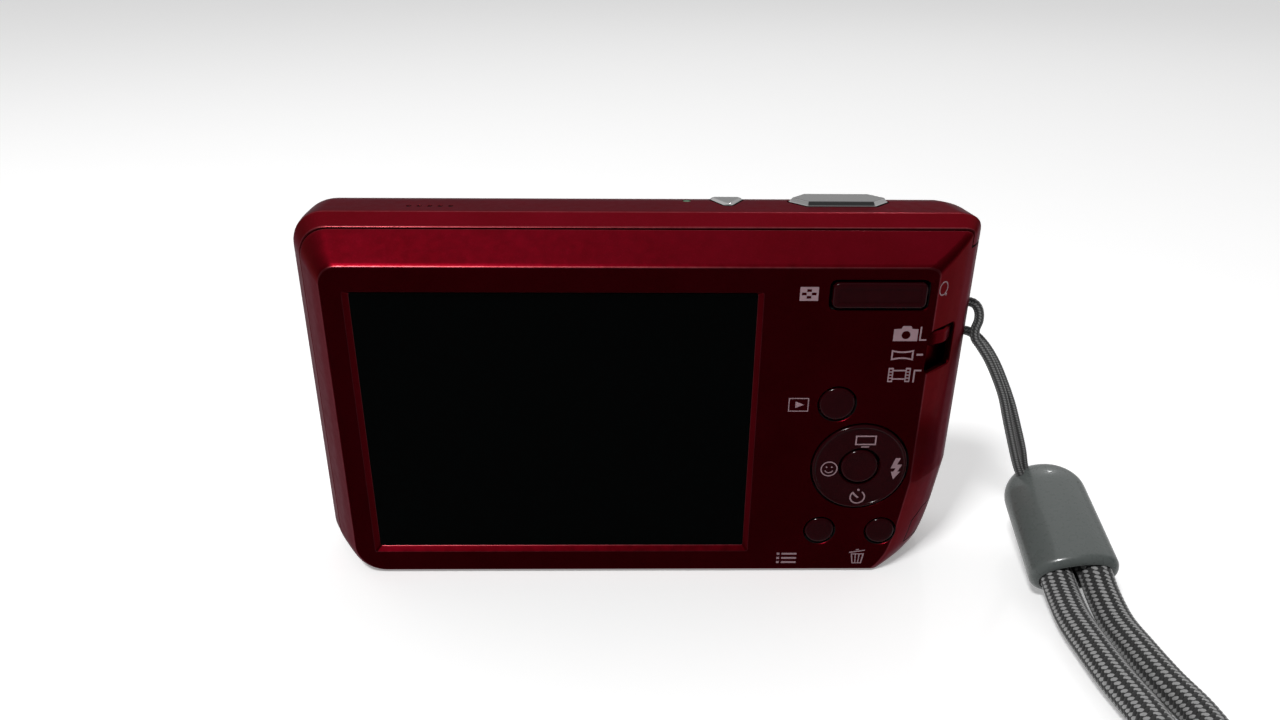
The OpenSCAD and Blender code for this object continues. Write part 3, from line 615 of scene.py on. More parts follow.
# The casing's outline, as in part.scad: depth from the back, and how far the
# outline lies inside the widest, highest or lowest place.
FRONT_SIDE = [(10, 0), (14, 0), (16, 0.3), (17.5, 1.2), (18.3, 2.6)]
LEFT_IN = [(0, 5.35), (2, 3.85), (5, 1.85), (8, 0.2), *FRONT_SIDE]
RIGHT_IN = [(0, 7.8), (2, 5.4), (4, 3.3), (6, 1.6), (8, 0.5), *FRONT_SIDE]
TOP_IN = [(0, 5), (0.3, 4.7), (5, 1.5), (8, 0), (14, 0), (16, 0.4), (17.5, 1.6), (18.3, 3.1)]
FOOT_IN = [(0, 0.5), (0.8, 0), (16, 0), (17.5, 0.7), (18.3, 2)]
CROWN_SCALE = [(0, 0.4), (5, 0.25), (8, 0.7), (10, 1), (14, 1.2), (18.3, 1.2)]
CROWN = [(0, -3), (-0.1, -1.3), (-1.0, -0.35), (-4, 0)]
LEFT_TOP_R = [(0, 2.5), (5, 4), (8, 4.5), (18.3, 4.5)]
LEFT_FOOT_R = 4.2
HEEL = np.array([(-4, 0), (-3, 1), (-1.5, 4), (0, 15)])
# Depths between which the slopes' outer edge takes the edge paint, as a painted highlight line with
# some wear.
SHOULDER_HIGHLIGHT = (7.8, 8.05)
WALL = 1.2
SEAM, SEAM_GAP = 5.0, 0.3
WING_DEPTH, WING_X, WING_LOW, WING_HIGH = 9.2, HALF_W - 4.7, 3.0, HEIGHT - 3.9


def soft(table, depth):
    """Value of a profile at a depth, with its corners a little rounded."""
    depths, values = (np.array(column, float) for column in zip(*table))
    slope = (values[1:] - values[:-1]) / (depths[1:] - depths[:-1])
    depths = np.concatenate([[-2], depths, [depths[-1] + 2]])
    values = np.concatenate([[values[0] - 2 * slope[0]], values, [values[-1] + 2 * slope[-1]]])
    reach = 0.25 if depth < 12 else 0.7
    return float(np.interp(np.linspace(depth - reach, depth + reach, 9), depths, values).mean())


def casing_ring(depth, inset):
    """Outline of the casing at a depth, drawn in by an inset."""
    x0 = soft(LEFT_IN, depth) - HALF_W + inset
    x1 = HALF_W - soft(RIGHT_IN, depth) - inset
    z0 = max(soft(FOOT_IN, depth), 0) + inset
    z1 = HEIGHT - max(soft(TOP_IN, depth), 0) - inset
    scale = soft(CROWN_SCALE, depth)
    points = []
    for t in np.linspace(0, 1, 13):
        share = (1 - t) ** 3, 3 * t * (1 - t) ** 2, 3 * t ** 2 * (1 - t), t ** 3
        points.append((x1 + scale * sum(w * p[0] for w, p in zip(share, CROWN)),
                       z1 + scale * sum(w * p[1] for w, p in zip(share, CROWN))))
    for r, z, up, start in ((soft(LEFT_TOP_R, depth), z1, -1, 90), (LEFT_FOOT_R, z0, 1, 180)):
        r = max(r - inset, 0.5)
        for a in np.radians(np.linspace(start, start + 90, 12)):
            points.append((x0 + r + r * cos(a), z + up * r + r * sin(a)))
    return points + [(x1 + x, z0 + z) for x, z in rounded_off(HEEL)]


def rounded_off(points, rounds=3):
    """Cuts the corners of an open line between its two ends."""
    for _ in range(rounds):
        near = points[:-1] * 0.75 + points[1:] * 0.25
        far = points[:-1] * 0.25 + points[1:] * 0.75
        corners = np.stack([near, far], 1).reshape(-1, 2)
        points = np.vstack([points[:1], corners, points[-1:]])
    return points


def casing(name, steps, foot=0):
    """Solid through the casing's outlines. A step is a depth, an inset and the
    material up to the next step."""
    rings = [[on_back(x, z, step[0]) for x, z in casing_ring(step[0], step[1])] for step in steps]
    return tube(name, rings, [step[2] for step in steps], foot=foot)


def casing_steps(start, end, first=0.0, last=0.0):
    """Steps of the outer skin between two depths, with rounded end edges. The rounded edges and the
    shoulder take the edge paint: worn paint with a painted highlight.
    """
    steps = [(d, -g, EDGE) for d, g in rounded_end(start, first)] if first else [(start, 0, 0)]
    inner = np.unique(np.round(np.concatenate([
        np.arange(0.5, DEPTH, 0.5), [0.15, 0.3, 0.45, 0.8, 7.75, 7.9, 8.1, 8.25],
        np.arange(15, DEPTH, 0.2)]), 3))
    low, high = start + first + 0.04, end - last - 0.04
    steps += [(d, 0, EDGE if SHOULDER_HIGHLIGHT[0] < d < SHOULDER_HIGHLIGHT[1] else 0)
              for d in inner if low < d < high]
    if last:
        steps += [(d, -g, EDGE) for d, g in rounded_end(end, last, -1)[:0:-1]]
    return steps + [(end, last, 0)]


def hollow(start, end):
    """Cutter of the space inside the walls."""
    depths = [d for d in np.arange(0, DEPTH, 0.5) if start < d < end]
    return casing("cutter", [(d, WALL, INSIDE) for d in (start, *depths, end)], INSIDE)


# How far a key's hidden collar reaches past its cap.
COLLAR = 0.5


def key_shapes():
    """Place and radius of each round key's cap, without its collar."""
    for node in ("playback_button", "menu_button", "delete_button", "control_ring"):
        low, high = limits(node)[0]
        x, _, z = centre_of(node)
        yield x, z, (high - low) / 2 - COLLAR


def rocker_shape():
    """Limits of the rocker's cap, which its flange overlaps above and below."""
    x, _, z = limits("zoom_rocker")
    return x, (z[0] + 0.55, z[1] - 0.55), 0.8


# The mode switch's slot across and along the slope, the strap's eyelet, and the
# gap round a key.
SLOT_U, SLOT_Z = (-0.3, 5.6), (32.4, 38.6)
EYELET_X, EYELET_DEPTH, EYELET_Z = 42.8, (8.2, 12.6), (33.2, 39.6)
KEY_GAP = 0.24


def flap_cutter(gap):
    """Prism of the flap at the lower right, grown by a gap."""
    back, front, low, high, cut = 2.9 - gap, 8.7 + gap, 3.4 - gap, 8.4 + gap, 1.5
    shape = hull_of([(back, low), (front, low), (front, high), (back + cut, high),
                     (back, high - cut)], SHARP, 1)
    return stack("cutter", shape, [(-1, 0, INSIDE), (6.5, 0, INSIDE)], on_side)


def screen_cutter():
    """The sunk window's opening, with sloping edges, wider below."""
    x, depth, z = limits("lcd_window")
    # The rim and the window's edge take the edge paint, worn paint with a painted highlight; the
    # walls below take the dark inside, painted shade.
    steps = [(-2, 0.8, 0.4, EDGE), (0, 0.8, 0.4, EDGE), (0.05, 0.72, 0.34, 0),
             (depth[0] - 0.04, 0.1, 0.08, EDGE), (depth[0] + 0.02, 0.05, 0.05, INSIDE),
             (3, 0.05, 0.05, INSIDE)]
    rings = []
    for d, side, high, _ in steps:
        shape = round_rect((x[0] - side, x[1] + side), (z[0] - side, z[1] + high), 0.3, 4)
        rings.append([on_back(u, v, d) for u, v in shape(0)])
    return tube("cutter", rings, [step[-1] for step in steps])


def eyelet_cutter():
    shape = round_rect(EYELET_DEPTH, EYELET_Z, 0.9)
    steps = [(-1, 0.15, EDGE), (0, 0.15, EDGE), (0.2, 0), (HALF_W - EYELET_X, 0, INSIDE)]
    return stack("cutter", shape, steps, on_side)


def make_rear_shell():
    """Rear cover: the flat back with its slopes, and the thumb wing."""
    shell = casing("rear_shell", casing_steps(0, SEAM, 0.09, 0.08))
    wing = casing("wing", casing_steps(SEAM - 0.6, WING_DEPTH))
    share = block((WING_X, HALF_W + 1), (SEAM - 2, WING_DEPTH + 1), (WING_LOW, WING_HIGH))
    combine(wing, [share], "INTERSECT")
    combine(shell, [wing], "UNION")
    cutters = [hollow(WALL, 12), screen_cutter(), eyelet_cutter(), flap_cutter(0.2)]
    for x, z, r in key_shapes():
        cutters.append(opening(circle(r, 96, (x, z)), on_back, 3, KEY_GAP))
    x, z, r = rocker_shape()
    rocker = round_rect((x[0] - 0.35, x[1] + 0.35), (z[0] - 0.3, z[1] + 0.3), r)
    cutters.append(opening(rocker, on_back, 3, flare=0.2))
    slot = round_rect(SLOT_U, SLOT_Z, 0.7)
    cutters.append(opening(slot, on_slope, 1.7, flare=0.12, inside=0))
    combine(shell, cutters)
    settle(shell, "camera", "body_paint", "rear_cover")


def power_shape():
    x, d, _ = centre_of("power_button")
    return hull_of([(x, d - 1.2), (x + 1.4, d + 1.2), (x - 1.4, d + 1.2)], 0.8)


def shutter_shape():
    x, d, _ = centre_of("shutter_button")
    long, short, half = 6.3, 4.4, 1.9
    return hull_of([(x - short, d - half), (x + short, d - half), (x + long, d),
                    (x + short, d + half), (x - short, d + half), (x - long, d)], 0.5)


def round_opening(node, place, r, flare, depth=4, n=48):
    """Cutter of a round hole at the middle of a CAD node."""
    x, d, z = centre_of(node)
    spot = (x, z if place is on_front else d)
    return opening(circle(r, n, spot), place, depth, flare=flare)


def base_cutters():
    """Openings in the base: door, tripod socket, connector and screws."""
    (x0, x1), (d0, d1), _ = limits("battery_door")
    gap, deep = 0.2, 2
    door = round_rect((x0 - gap, x1 + gap), (d0 - gap, d1 + gap), 0.3)
    x, d, _ = limits("multi_connector")
    cutters = [opening(door, on_base, deep, flare=0.1),
               opening(round_rect(x, d, 0.5), on_base, deep, flare=0.1),
               round_opening("tripod_socket", on_base, 4.42, 0.1, deep, 72)]
    for spot in ((-38, 8), (-38, 13.8), (-10.5, 14)):
        cutters.append(opening(circle(1.57, 40, spot), on_base, deep, flare=0.08))
    return cutters


def front_cutters():
    """Openings in the front: lens, flash, lamp and microphone."""
    low, high = limits("lens_barrel_outer")[0]
    x, _, z = limits("flash_window")
    return [round_opening("lens_barrel_outer", on_front, (high - low) / 2 + 1.4, FLARE, n=128),
            opening(round_rect(x, z, 0.45), on_front, 4, 0.05, 0.1),
            round_opening("focus_lamp", on_front, 1.8, 0.12),
            round_opening("microphone", on_front, 0.4, 0.06, n=24)]


def top_cutters():
    """Openings in the top: power and shutter keys, lamp and speaker."""
    deep = 3
    cutters = [opening(shape, on_top, deep, KEY_GAP, 0.12)
               for shape in (power_shape(), shutter_shape())]
    cutters.append(round_opening("power_lamp", on_top, 0.58, 0.05, deep, 32))
    x, d, _ = centre_of("speaker")
    for i in range(-2, 3):
        cutters.append(opening(circle(0.35, 20, (x + 1.4 * i, d)), on_top, deep, flare=0.05))
    return cutters


def make_front_shell():
    """Front cover: the lens side with the top, the base and the left side."""
    start = SEAM + SEAM_GAP
    shell = casing("front_shell", casing_steps(start, DEPTH, 0.1, 0.18))
    notch = block((WING_X - SEAM_GAP, HALF_W + 1), (SEAM - 1, WING_DEPTH + SEAM_GAP),
                  (WING_LOW - SEAM_GAP, WING_HIGH + SEAM_GAP))
    combine(shell, [hollow(SEAM - 1, DEPTH - WALL), notch])
    pocket = block((EYELET_X - 1.2, HALF_W - 0.4), (SEAM + 2.6, EYELET_DEPTH[1] + 1.2),
                   (EYELET_Z[0] - 1, EYELET_Z[1] + 1))
    skin = casing("skin", casing_steps(WING_DEPTH + SEAM_GAP, DEPTH - 1))
    combine(pocket, [skin], "INTERSECT")
    combine(shell, [pocket], "UNION")
    combine(shell, [eyelet_cutter(), *base_cutters(), *front_cutters(), *top_cutters()])
    settle(shell, "camera", "body_paint", "front_cover")


def make_flap():
    """The small flap over the lead's outlet, shaped like the casing there."""
    flap = casing("cord_flap", casing_steps(1, 12))
    combine(flap, [hollow(0, 13)])
    combine(flap, [flap_cutter(0)], "INTERSECT")
    settle(flap, "cord_cover", "body_paint", "cord_cover")


# --- keys

def make_key(name, node, shape, steps, place=on_back, slot="key_plastic"):
    """Cap of a key, down to the end of its CAD node."""
    settle(stack(name, shape, steps, place, [slot]), node, slot, node)


def make_round_key(name, node, proud):
    """A key with a domed, round-edged cap over its collar and stem."""
    (low, high), (_, end), _ = limits(node)
    x, _, z = centre_of(node)
    r = (high - low) / 2 - COLLAR
    stem = 0.9 - r
    steps = [(-proud, -r * 0.9), (-proud + 0.02, -r * 0.6), (-proud + 0.05, -0.5)]
    steps += [(d + 0.07, g) for d, g in rounded_end(-proud, 0.42, n=5)]
    steps += [(1.6, 0), (1.6, COLLAR), (2.1, COLLAR), (2.1, stem), (end, stem)]
    make_key(name, node, circle(r, 72, (x, z)), steps)


def make_ring():
    """Four-way ring: a raised rim around a sunk flat face."""
    low, high = limits("control_ring")[0]
    x, _, z = centre_of("control_ring")
    outer, proud = (high - low) / 2 - COLLAR, -0.2
    inner = limits("select_button")[0][1] - x + 0.35
    loop = [(inner, 2.3), (outer + COLLAR, 2.3), (outer + COLLAR, 1.9), (outer, 1.9), (outer, 0.05)]
    loop += [(outer - 0.3 + 0.3 * cos(a), proud + 0.25 - 0.25 * sin(a))
             for a in np.radians((25, 50, 75, 90))]
    loop += [(outer - 0.36, proud + 0.02), (outer - 0.42, proud + 0.07),
             (outer - 0.47, -0.04), (outer - 0.55, 0), (inner + 0.1, 0), (inner + 0.03, 0.03),
             (inner, 0.1)]
    ring = lathe("ring_key", loop, lambda u, v, h: on_back(x + u, z + v, h), KEY)
    settle(ring, "control_ring", "key_plastic", "control_ring", angle=40)


def make_select():
    """Middle key of the ring, with a shallow dish."""
    (low, high), (_, end), _ = limits("select_button")
    x, _, z = centre_of("select_button")
    r = (high - low) / 2
    steps = [(0.06, -r * 0.93), (0.03, -r * 0.7), (-0.03, -r * 0.45), (-0.08, -0.55)]
    steps += rounded_end(-0.1, 0.4, n=5)
    steps += [(1.9, 0), (1.9, 1.6 - r), (end, 1.6 - r)]
    make_key("select_key", "select_button", circle(r, 72, (x, z)), steps)


def make_rocker():
    """Zoom rocker: a long glossy key with a slightly hollow face."""
    x, (face, _), z = limits("zoom_rocker")
    steps = [(face + 0.16, -2.0), (face + 0.13, -1.5), (face + 0.06, -0.95), (face + 0.01, -0.55)]
    steps += [*rounded_end(face, 0.38, n=5), (1.9, 0)]
    key_x, key_z, r = rocker_shape()
    key = stack("rocker_key", round_rect(key_x, key_z, r, 8), steps, on_back, KEY)
    flange = stack("flange", round_rect((x[0] + 0.4, x[1] - 1), z, SHARP, 1),
                   [(1.9, 0), (2.4, 0)], on_back, KEY)
    combine(key, [flange], "UNION")
    settle(key, "zoom_rocker", "key_plastic", "zoom_rocker")


def make_mode_switch():
    """Slider in the slanted side, with a humped knob, painted like the casing."""
    z = limits("mode_switch")[2]
    low, high, bevel = 36.3, 38.3, 0.25
    paint = SHELL[:1]
    plate = stack("mode_slider", round_rect((0, 5.4), z, 0.1, 2), [(1.78, 0), (2.2, 0)],
                  on_slope, paint)
    # Height and place across the slot; the first and last points are the root.
    root = 1.9
    profile = [(root, 0.1), (0.5, 0.1), (0.05, 0.5), (-0.1, 1.2), (-0.35, 2.2), (-0.38, 2.8),
               (-0.25, 3.4), (0.1, 4.6), (0.5, 5.1), (root, 5.1)]
    rings = []
    for v, drop in ((low, bevel), (low + bevel, 0), (high - bevel, 0), (high, bevel)):
        ring = []
        for h, u in profile:
            lean = drop if h < root else 0
            ring.append(on_slope(u + (lean if u < 2.5 else -lean) * 0.6, v, h + lean))
        rings.append(ring)
    combine(plate, [tube("knob", rings, [0] * 4, paint)], "UNION")
    settle(plate, "mode_switch", "key_plastic", "mode_switch", angle=40)


def make_power_key():
    """Bright power key: a rounded triangle that points to the back."""
    steps = [(-0.22, -0.62), (-0.19, -0.35), (-0.1, -0.12), (0.02, 0), (2.0, 0), (2.0, 0.5),
             (2.6, 0.5)]
    make_key("power_key", "power_button", power_shape(), steps, on_top, "chrome_trim")


def make_shutter_key():
    """Bright shutter key with steep sides around a nearly flat top."""
    steps = [(-0.55, -1.3), (-0.52, -0.75), (-0.42, -0.38), (-0.1, -0.12), (-0.02, 0),
             (2.4, 0)]
    make_key("shutter_key", "shutter_button", shutter_shape(), steps, on_top, "chrome_trim")


# --- prints

def bar(u, v):
    return [(u[0], v[0]), (u[1], v[0]), (u[1], v[1]), (u[0], v[1])]


def frame_of(u, v, stroke):
    """Outlines of a rectangular line: outer and inner edge."""
    return [bar(u, v), bar((u[0] + stroke, u[1] - stroke), (v[0] + stroke, v[1] - stroke))]


def disc(centre, r, n=28):
    return circle(r, n, centre)(0)


def arc_band(centre, r, stroke, start, end, n=20):
    """Outline of a piece of ring between two angles in degrees."""
    angles = np.radians(np.linspace(start, end, n))
    outer = [(centre[0] + r * cos(a), centre[1] + r * sin(a)) for a in angles]
    inner = [(centre[0] + (r - stroke) * cos(a), centre[1] + (r - stroke) * sin(a))
             for a in angles[::-1]]
    return outer + inner


def stroke_line(a, b, stroke):
    """Outline of a straight stroke."""
    length = hypot(b[0] - a[0], b[1] - a[1])
    n = ((a[1] - b[1]) / length * stroke / 2, (b[0] - a[0]) / length * stroke / 2)
    return [(a[0] + n[0], a[1] + n[1]), (a[0] - n[0], a[1] - n[1]),
            (b[0] - n[0], b[1] - n[1]), (b[0] + n[0], b[1] + n[1])]


PRINT_THICK = 0.02


def make_prints(name, outlines, place, body):
    """Thin printed marks. Outlines inside outlines are left open."""
    curve = bpy.data.curves.new(name, "CURVE")
    curve.dimensions = "2D"
    curve.fill_mode = "BOTH"
    curve.extrude = PRINT_THICK / 2
    for outline in outlines:
        spline = curve.splines.new("POLY")
        spline.points.add(len(outline) - 1)
        for point, (u, v) in zip(spline.points, outline):
            point.co = (u, v, 0, 1)
        spline.use_cyclic_u = True
    holder = bpy.data.objects.new("holder", curve)
    bpy.context.scene.collection.objects.link(holder)
    bpy.context.view_layer.update()
    graph = bpy.context.evaluated_depsgraph_get()
    mesh = bpy.data.meshes.new_from_object(holder.evaluated_get(graph))
    work = bmesh.new()
    work.from_mesh(mesh)
    bmesh.ops.remove_doubles(work, verts=work.verts, dist=0.001)
    for vert in work.verts:
        u, v, h = vert.co
        vert.co = [c * MM for c in place(u, v, -h - PRINT_THICK / 2)]
    bmesh.ops.recalc_face_normals(work, faces=work.faces)
    work.to_mesh(mesh)
    work.free()
    bpy.data.objects.remove(holder)
    mesh.name = name
    mesh.materials.clear()
    mesh.materials.append(finishes["print_grey"])
    piece = bpy.data.objects.new(name, mesh)
    bpy.context.scene.collection.objects.link(piece)
    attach(piece, body)


def index_mark():
    """Thumbnail sheet: a plate with four small openings in a cross."""
    plate = bar((20.6, 23.0), (42.9, 44.8))
    gaps = [bar((21.5, 22.1), (44.12, 44.5)), bar((21.5, 22.1), (43.2, 43.58)),
            bar((20.86, 21.46), (43.66, 44.04)), bar((22.14, 22.74), (43.66, 44.04))]
    return [plate, *gaps]


def camera_mark():
    body = [(33.35, 37.25), (36.55, 37.25), (36.55, 38.95), (35.75, 39.0), (35.55, 39.4),
            (34.5, 39.4), (34.3, 39.0), (33.35, 38.95)]
    return [body, disc((35.0, 38.12), 0.58)]


def panorama_mark():
    """Frame that is lower in the middle than at its ends."""
    def edge(x0, x1, z0, z1, dip):
        xs = np.linspace(x0, x1, 9)
        lift = 1 - ((xs - x0) / (x1 - x0) * 2 - 1) ** 2
        return ([(x, z0 + dip * s) for x, s in zip(xs, lift)]
                + [(x, z1 - dip * s) for x, s in zip(xs[::-1], lift[::-1])])
    return [edge(33.4, 36.35, 34.45, 35.97, 0.22), edge(33.62, 36.13, 34.72, 35.7, 0.18)]


def film_mark():
    """Strip of film standing on edge, with its perforations."""
    outlines = []
    for x0, x1 in ((33.3, 33.98), (35.6, 36.28)):
        outlines.append(bar((x0, x1), (31.25, 33.35)))
        for k in range(4):
            z = 31.44 + 0.46 * k
            outlines.append(bar((x0 + 0.15, x1 - 0.15), (z, z + 0.3)))
    return outlines + [bar((33.99, 35.59), (z, z + 0.2)) for z in (31.6, 32.85)]


def tick_marks():
    """Marks beside the mode switch, one for each of its three places."""
    upper = [(36.8, 37.3), (37.75, 37.3), (37.75, 37.52), (37.0, 37.52), (37.0, 39.3), (36.8, 39.3)]
    lower = [(36.7, 31.2), (36.9, 31.2), (36.9, 32.85), (37.7, 32.85), (37.7, 33.07), (36.7, 33.07)]
    return [upper, bar((36.75, 37.6), (35.15, 35.42)), lower]


def play_mark():
    triangle = [(21.25, 27.3), (22.4, 27.8), (21.25, 28.3)]
    return [*frame_of((20.3, 23.05), (26.76, 28.82), 0.13), triangle]


def list_mark():
    """Menu key: three lines of a list with their points."""
    outlines = []
    for z in (1.5, 2.25, 3.0):
        outlines.append(bar((20.4, 20.8), (z, z + 0.36)))
        outlines.append(bar((21.1, 23.3), (z + 0.03, z + 0.33)))
    return outlines


def bin_mark():
    """Waste bin with its lid lifted."""
    lid = stroke_line((31.0, 3.4), (33.3, 3.78), 0.17)
    knob = stroke_line((31.95, 3.86), (32.4, 3.93), 0.16)
    shell = [(31.28, 3.2), (33.22, 3.2), (32.95, 1.45), (31.55, 1.45)]
    slots = []
    for k in range(3):
        top, foot = 31.48 + 0.56 * k, 31.68 + 0.41 * k
        slots.append([(top, 3.05), (top + 0.4, 3.05), (foot + 0.28, 1.6), (foot, 1.6)])
    return [lid, knob, shell, *slots]


def glass_mark():
    """Magnifier on the slope beside the rocker, drawn in slope widths."""
    handle = stroke_line((1.75, 43.62), (2.0, 43.3), 0.3)
    return [disc((1.2, 44.35), 0.98), disc((1.2, 44.35), 0.82), handle]


def ring_marks():
    """Marks on the four ways of the ring: screen, flash, timer and smile."""
    screen = frame_of((30.0, 32.9), (21.5, 23.0), 0.2)
    stand = bar((30.9, 32.0), (21.12, 21.3))
    bolt = [(35.95, 19.4), (36.65, 19.4), (36.25, 18.35), (36.95, 18.35), (36.4, 17.2),
            (36.8, 17.2), (35.95, 15.95), (35.5, 17.2), (35.85, 17.2), (36.1, 17.75), (35.4, 17.75)]
    centre = (31.2, 13.0)
    timer = [arc_band(centre, 1.12, 0.2, -235, 55), stroke_line((31.3, 12.9), (30.5, 13.65), 0.26),
             disc((31.25, 14.2), 0.18, 12)]
    face = (26.75, 17.65)
    smile = [disc(face, 1.2), disc(face, 1.04), disc((26.38, 17.95), 0.12, 10),
             disc((27.12, 17.95), 0.12, 10), arc_band(face, 0.68, 0.14, 205, 335)]
    return [*screen, stand, bolt, *timer, *smile]


def make_all_prints():
    back = [*index_mark(), *camera_mark(), *panorama_mark(), *film_mark(), *tick_marks(),
            *play_mark(), *list_mark(), *bin_mark()]
    make_prints("back_marks", back, on_back, "camera")
    make_prints("zoom_mark", glass_mark(), on_skin, "camera")
    make_prints("ring_marks", ring_marks(), on_back, "control_ring")


def on_skin(u, v, h):
    """Point on the slanted right side, a distance along it from the flat."""
    depths = np.linspace(0, 6, 121)
    xs = np.array([HALF_W - soft(RIGHT_IN, d) for d in depths])
    along = np.concatenate([[0], np.cumsum(np.hypot(np.diff(xs), np.diff(depths)))])
    x, depth = np.interp(u, along, xs), np.interp(u, along, depths)
    return (x - h * sin(SLOPE), BACK + depth + h * cos(SLOPE), v)


# --- finishes

def make_finishes():
    """A material for each slot of the record."""
    return dict([
        painted("body_paint"),
        # Edge paint: worn paint with a painted highlight along the edges.
        painted("edge_paint", 0.2),
        turned("frame_steel", grey(0.4), grey(0.6), (0.05, 1, 1)),
        turned("screw_steel", grey(0.5), grey(0.75), (1, 1, 0.2), (0.15, 0.3)),
        moulded("screen_glass", grey(0.0006), (0.0006, 0.0011, 0.0011, 1),
                (0.03, 0.07), 0.4, 0.002, spec=0.12),
        moulded("dark_plastic", grey(0.012), grey(0.02)),
        moulded("key_plastic", (0.016, 0.0004, 0.0015, 1), (0.022, 0.0006, 0.002, 1),
                (0.14, 0.2), 5, 0.003, spec=0.15, coat=0.28, coat_rough=0.05),
        turned("chrome_trim", grey(0.43), grey(0.52), (0.3, 1, 1), (0.07, 0.12)),
        moulded("board_green", (0.01, 0.07, 0.03, 1), (0.02, 0.1, 0.045, 1)),
        turned("lens_silver", grey(0.42), grey(0.56), (1, 0.04, 1), (0.22, 0.34)),
        moulded("lens_black", grey(0.008), grey(0.014), (0.3, 0.42), 12, 0.008),
        moulded("optic_glass", (0.012, 0.01, 0.03, 1), (0.02, 0.018, 0.05, 1),
                (0.02, 0.04), 0.5, 0.001, coat=1.0, coat_rough=0.02),
        moulded("clear_plastic", (0.8, 0.84, 0.86, 1), (0.9, 0.93, 0.95, 1),
                (0.06, 0.12), 2, 0.01, through=0.85, ior=1.49),
        moulded("lamp_lens", (0.3, 0.04, 0.02, 1), (0.45, 0.08, 0.03, 1), (0.08, 0.15)),
        moulded("green_lens", (0.03, 0.12, 0.05, 1), (0.05, 0.17, 0.07, 1), (0.1, 0.2)),
        moulded("latch_blue", (0.03, 0.1, 0.35, 1), (0.05, 0.14, 0.42, 1)),
        moulded("card_blue", (0.01, 0.03, 0.14, 1), (0.02, 0.05, 0.2, 1)),
        moulded("cell_grey", grey(0.02), grey(0.035)),
        turned("contact_gold", (0.7, 0.45, 0.12, 1), (0.85, 0.6, 0.2, 1), (1, 1, 1)),
        moulded("nylon_gear", (0.6, 0.57, 0.48, 1), (0.7, 0.67, 0.58, 1)),
        braided_finish("string_cord", 0.05, 0.26, 0.015),
        moulded("ferrule_grey", (0.095, 0.108, 0.104, 1), (0.112, 0.125, 0.121, 1),
                (0.25, 0.33), 3, 0.004, coat=0.35, coat_rough=0.08),
        braided_finish("braid_cord", 0.03, 0.4, 0.002),
        moulded("print_grey", (0.27, 0.165, 0.19, 1), (0.33, 0.2, 0.23, 1), (0.45, 0.6)),
    ])


def dress_frame():
    """Gives every CAD node its slot's material, and the showing ones a broken
    edge."""
    slots = {part["node"]: part["material_slot"] for part in frame["record"]["subparts"]}
    bevelled = {
        "lcd_window": 0.08, "battery_door": 0.12, "lens_bezel": 0.12, "lens_barrel_outer": 0.1,
        "lens_barrel_inner": 0.06, "lens_front_plate": 0.05, "barrier_upper": 0.04,
        "barrier_lower": 0.04, "flash_window": 0.1, "focus_lamp": 0.12, "power_lamp": 0.06,
        "tripod_socket": 0.15, "strap_bar": 0.08, "case_screws": 0.06, "multi_connector": 0.05,
        "zoom_motor": 0.15, "flash_capacitor": 0.2, "battery": 0.25, "memory_card": 0.12,
        "chassis": 0.06, "lens_housing": 0.1, "speaker": 0.08, "battery_latch": 0.08,
    }
    for name, node in frame["nodes"].items():
        node.data.materials.clear()
        node.data.materials.append(finishes[slots[name]])
        width = bevelled.get(name)
        if width:
            weld = node.modifiers.new("weld", "WELD")
            weld.merge_threshold = 0.002 * MM
            edge = node.modifiers.new("broken_edge", "BEVEL")
            edge.width = width * MM
            edge.segments = 2
            edge.limit_method = "ANGLE"
            edge.angle_limit = radians(35)
            shade = node.modifiers.new("even_shading", "WEIGHTED_NORMAL")
            shade.keep_sharp = True


# --- studio

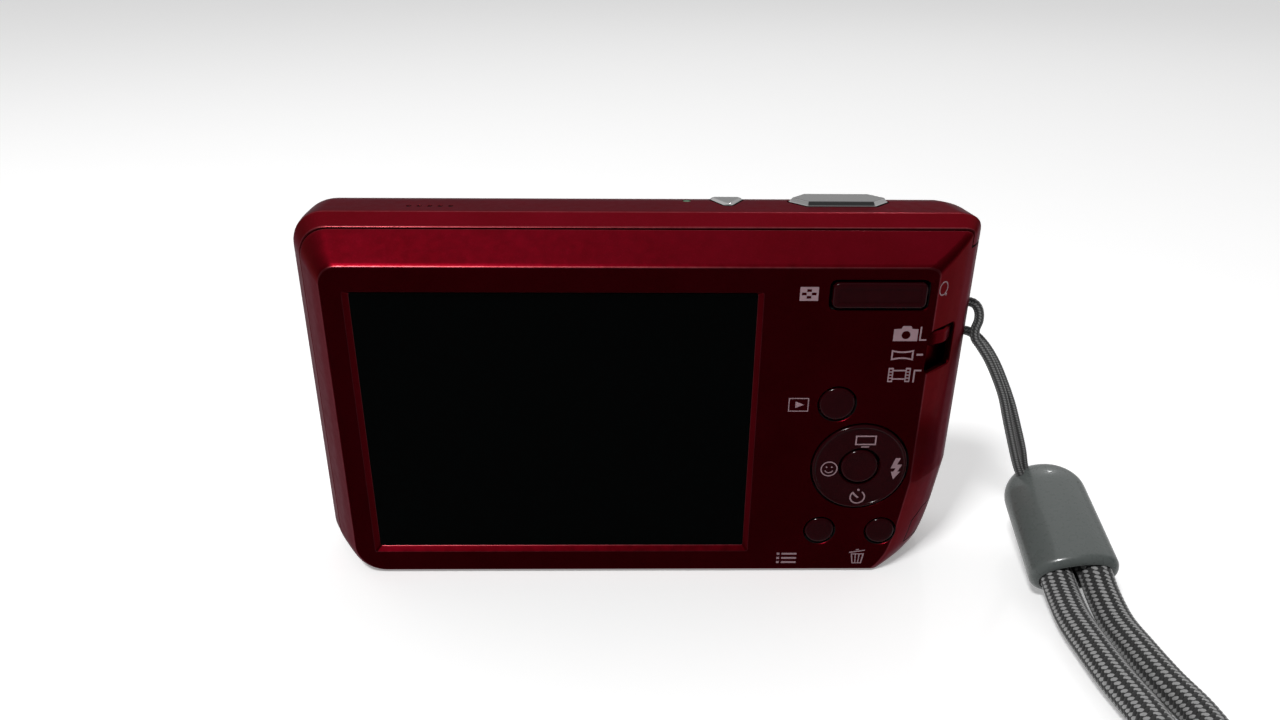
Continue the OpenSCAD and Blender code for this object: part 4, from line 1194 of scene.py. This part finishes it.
def make_floor():
    """Plain pale floor."""
    half = 3.0
    mesh = bpy.data.meshes.new("floor")
    mesh.from_pydata([(-half, -half, 0), (half, -half, 0), (half, half, 0), (-half, half, 0)],
                     [], [(0, 1, 2, 3)])
    floor = bpy.data.objects.new("floor", mesh)
    bpy.context.scene.collection.objects.link(floor)
    paper = Finish("floor_paper", rough=0.9, spec=0.0, glow=0.28)
    paper.colour(paper.mix(paper.noise(0.05), grey(0.97), grey(0.985)))
    mesh.materials.append(paper.material)
    floor.visible_glossy = False


def make_world():
    """Light from above and from beyond the object, fading to dark on the
    viewer's side."""
    world = bpy.data.worlds.new("studio")
    bpy.context.scene.world = world
    world.use_nodes = True
    sky = Nodes(world.node_tree)
    shade = sky.tree.nodes["Background"]
    shade.inputs["Color"].default_value = grey(1.0)
    split = sky.node("ShaderNodeSeparateXYZ")
    sky.feed(split.inputs[0], sky.coords["Generated"])
    _, beyond, up = split.outputs
    even = "SMOOTHSTEP"
    below = sky.between(beyond, -0.75, 0.35, 0.065, 0.6, even)
    height = sky.math("MULTIPLY_ADD", beyond, 3.3, up)
    front_fade = sky.between(height, -0.33, 2.5, 0.06, 0.85, even)
    low_fade = sky.between(up, 0.25, 0.65, 0.42, 0.85, even)
    above = sky.math("MINIMUM", front_fade, low_fade)
    blend = sky.node("ShaderNodeMix")
    sky.feed(blend.inputs[0], sky.between(up, -0.12, 0.02, 0.0, 1.0, even))
    sky.feed(blend.inputs[2], below)
    sky.feed(blend.inputs[3], above)
    sky.feed(shade.inputs["Strength"], blend.outputs[0])


def add_light(name, place, target, size, watts):
    data = bpy.data.lights.new(name, "AREA")
    data.size = size
    data.energy = watts
    light = bpy.data.objects.new(name, data)
    light.location = place
    light.rotation_euler = (Vector(target) - Vector(place)).to_track_quat("-Z", "Y").to_euler()
    bpy.context.scene.collection.objects.link(light)


def make_lights():
    target = (0, 0, 0.025)
    add_light("key", (-0.22, -0.3, 0.65), target, 0.13, 3.2)
    add_light("back", (0.25, 0.6, 0.62), target, 0.05, 0.3)


# --- build

bpy.context.scene.view_settings.view_transform = "Standard"
make_camera()
finishes = make_finishes()
make_strap()
make_floor()
make_world()
make_lights()
dress_frame()
make_rear_shell()
make_front_shell()
make_flap()
make_round_key("playback_key", "playback_button", 0.15)
make_round_key("menu_key", "menu_button", 0.12)
make_round_key("delete_key", "delete_button", 0.12)
make_ring()
make_select()
make_rocker()
make_mode_switch()
make_power_key()
make_shutter_key()
make_all_prints()
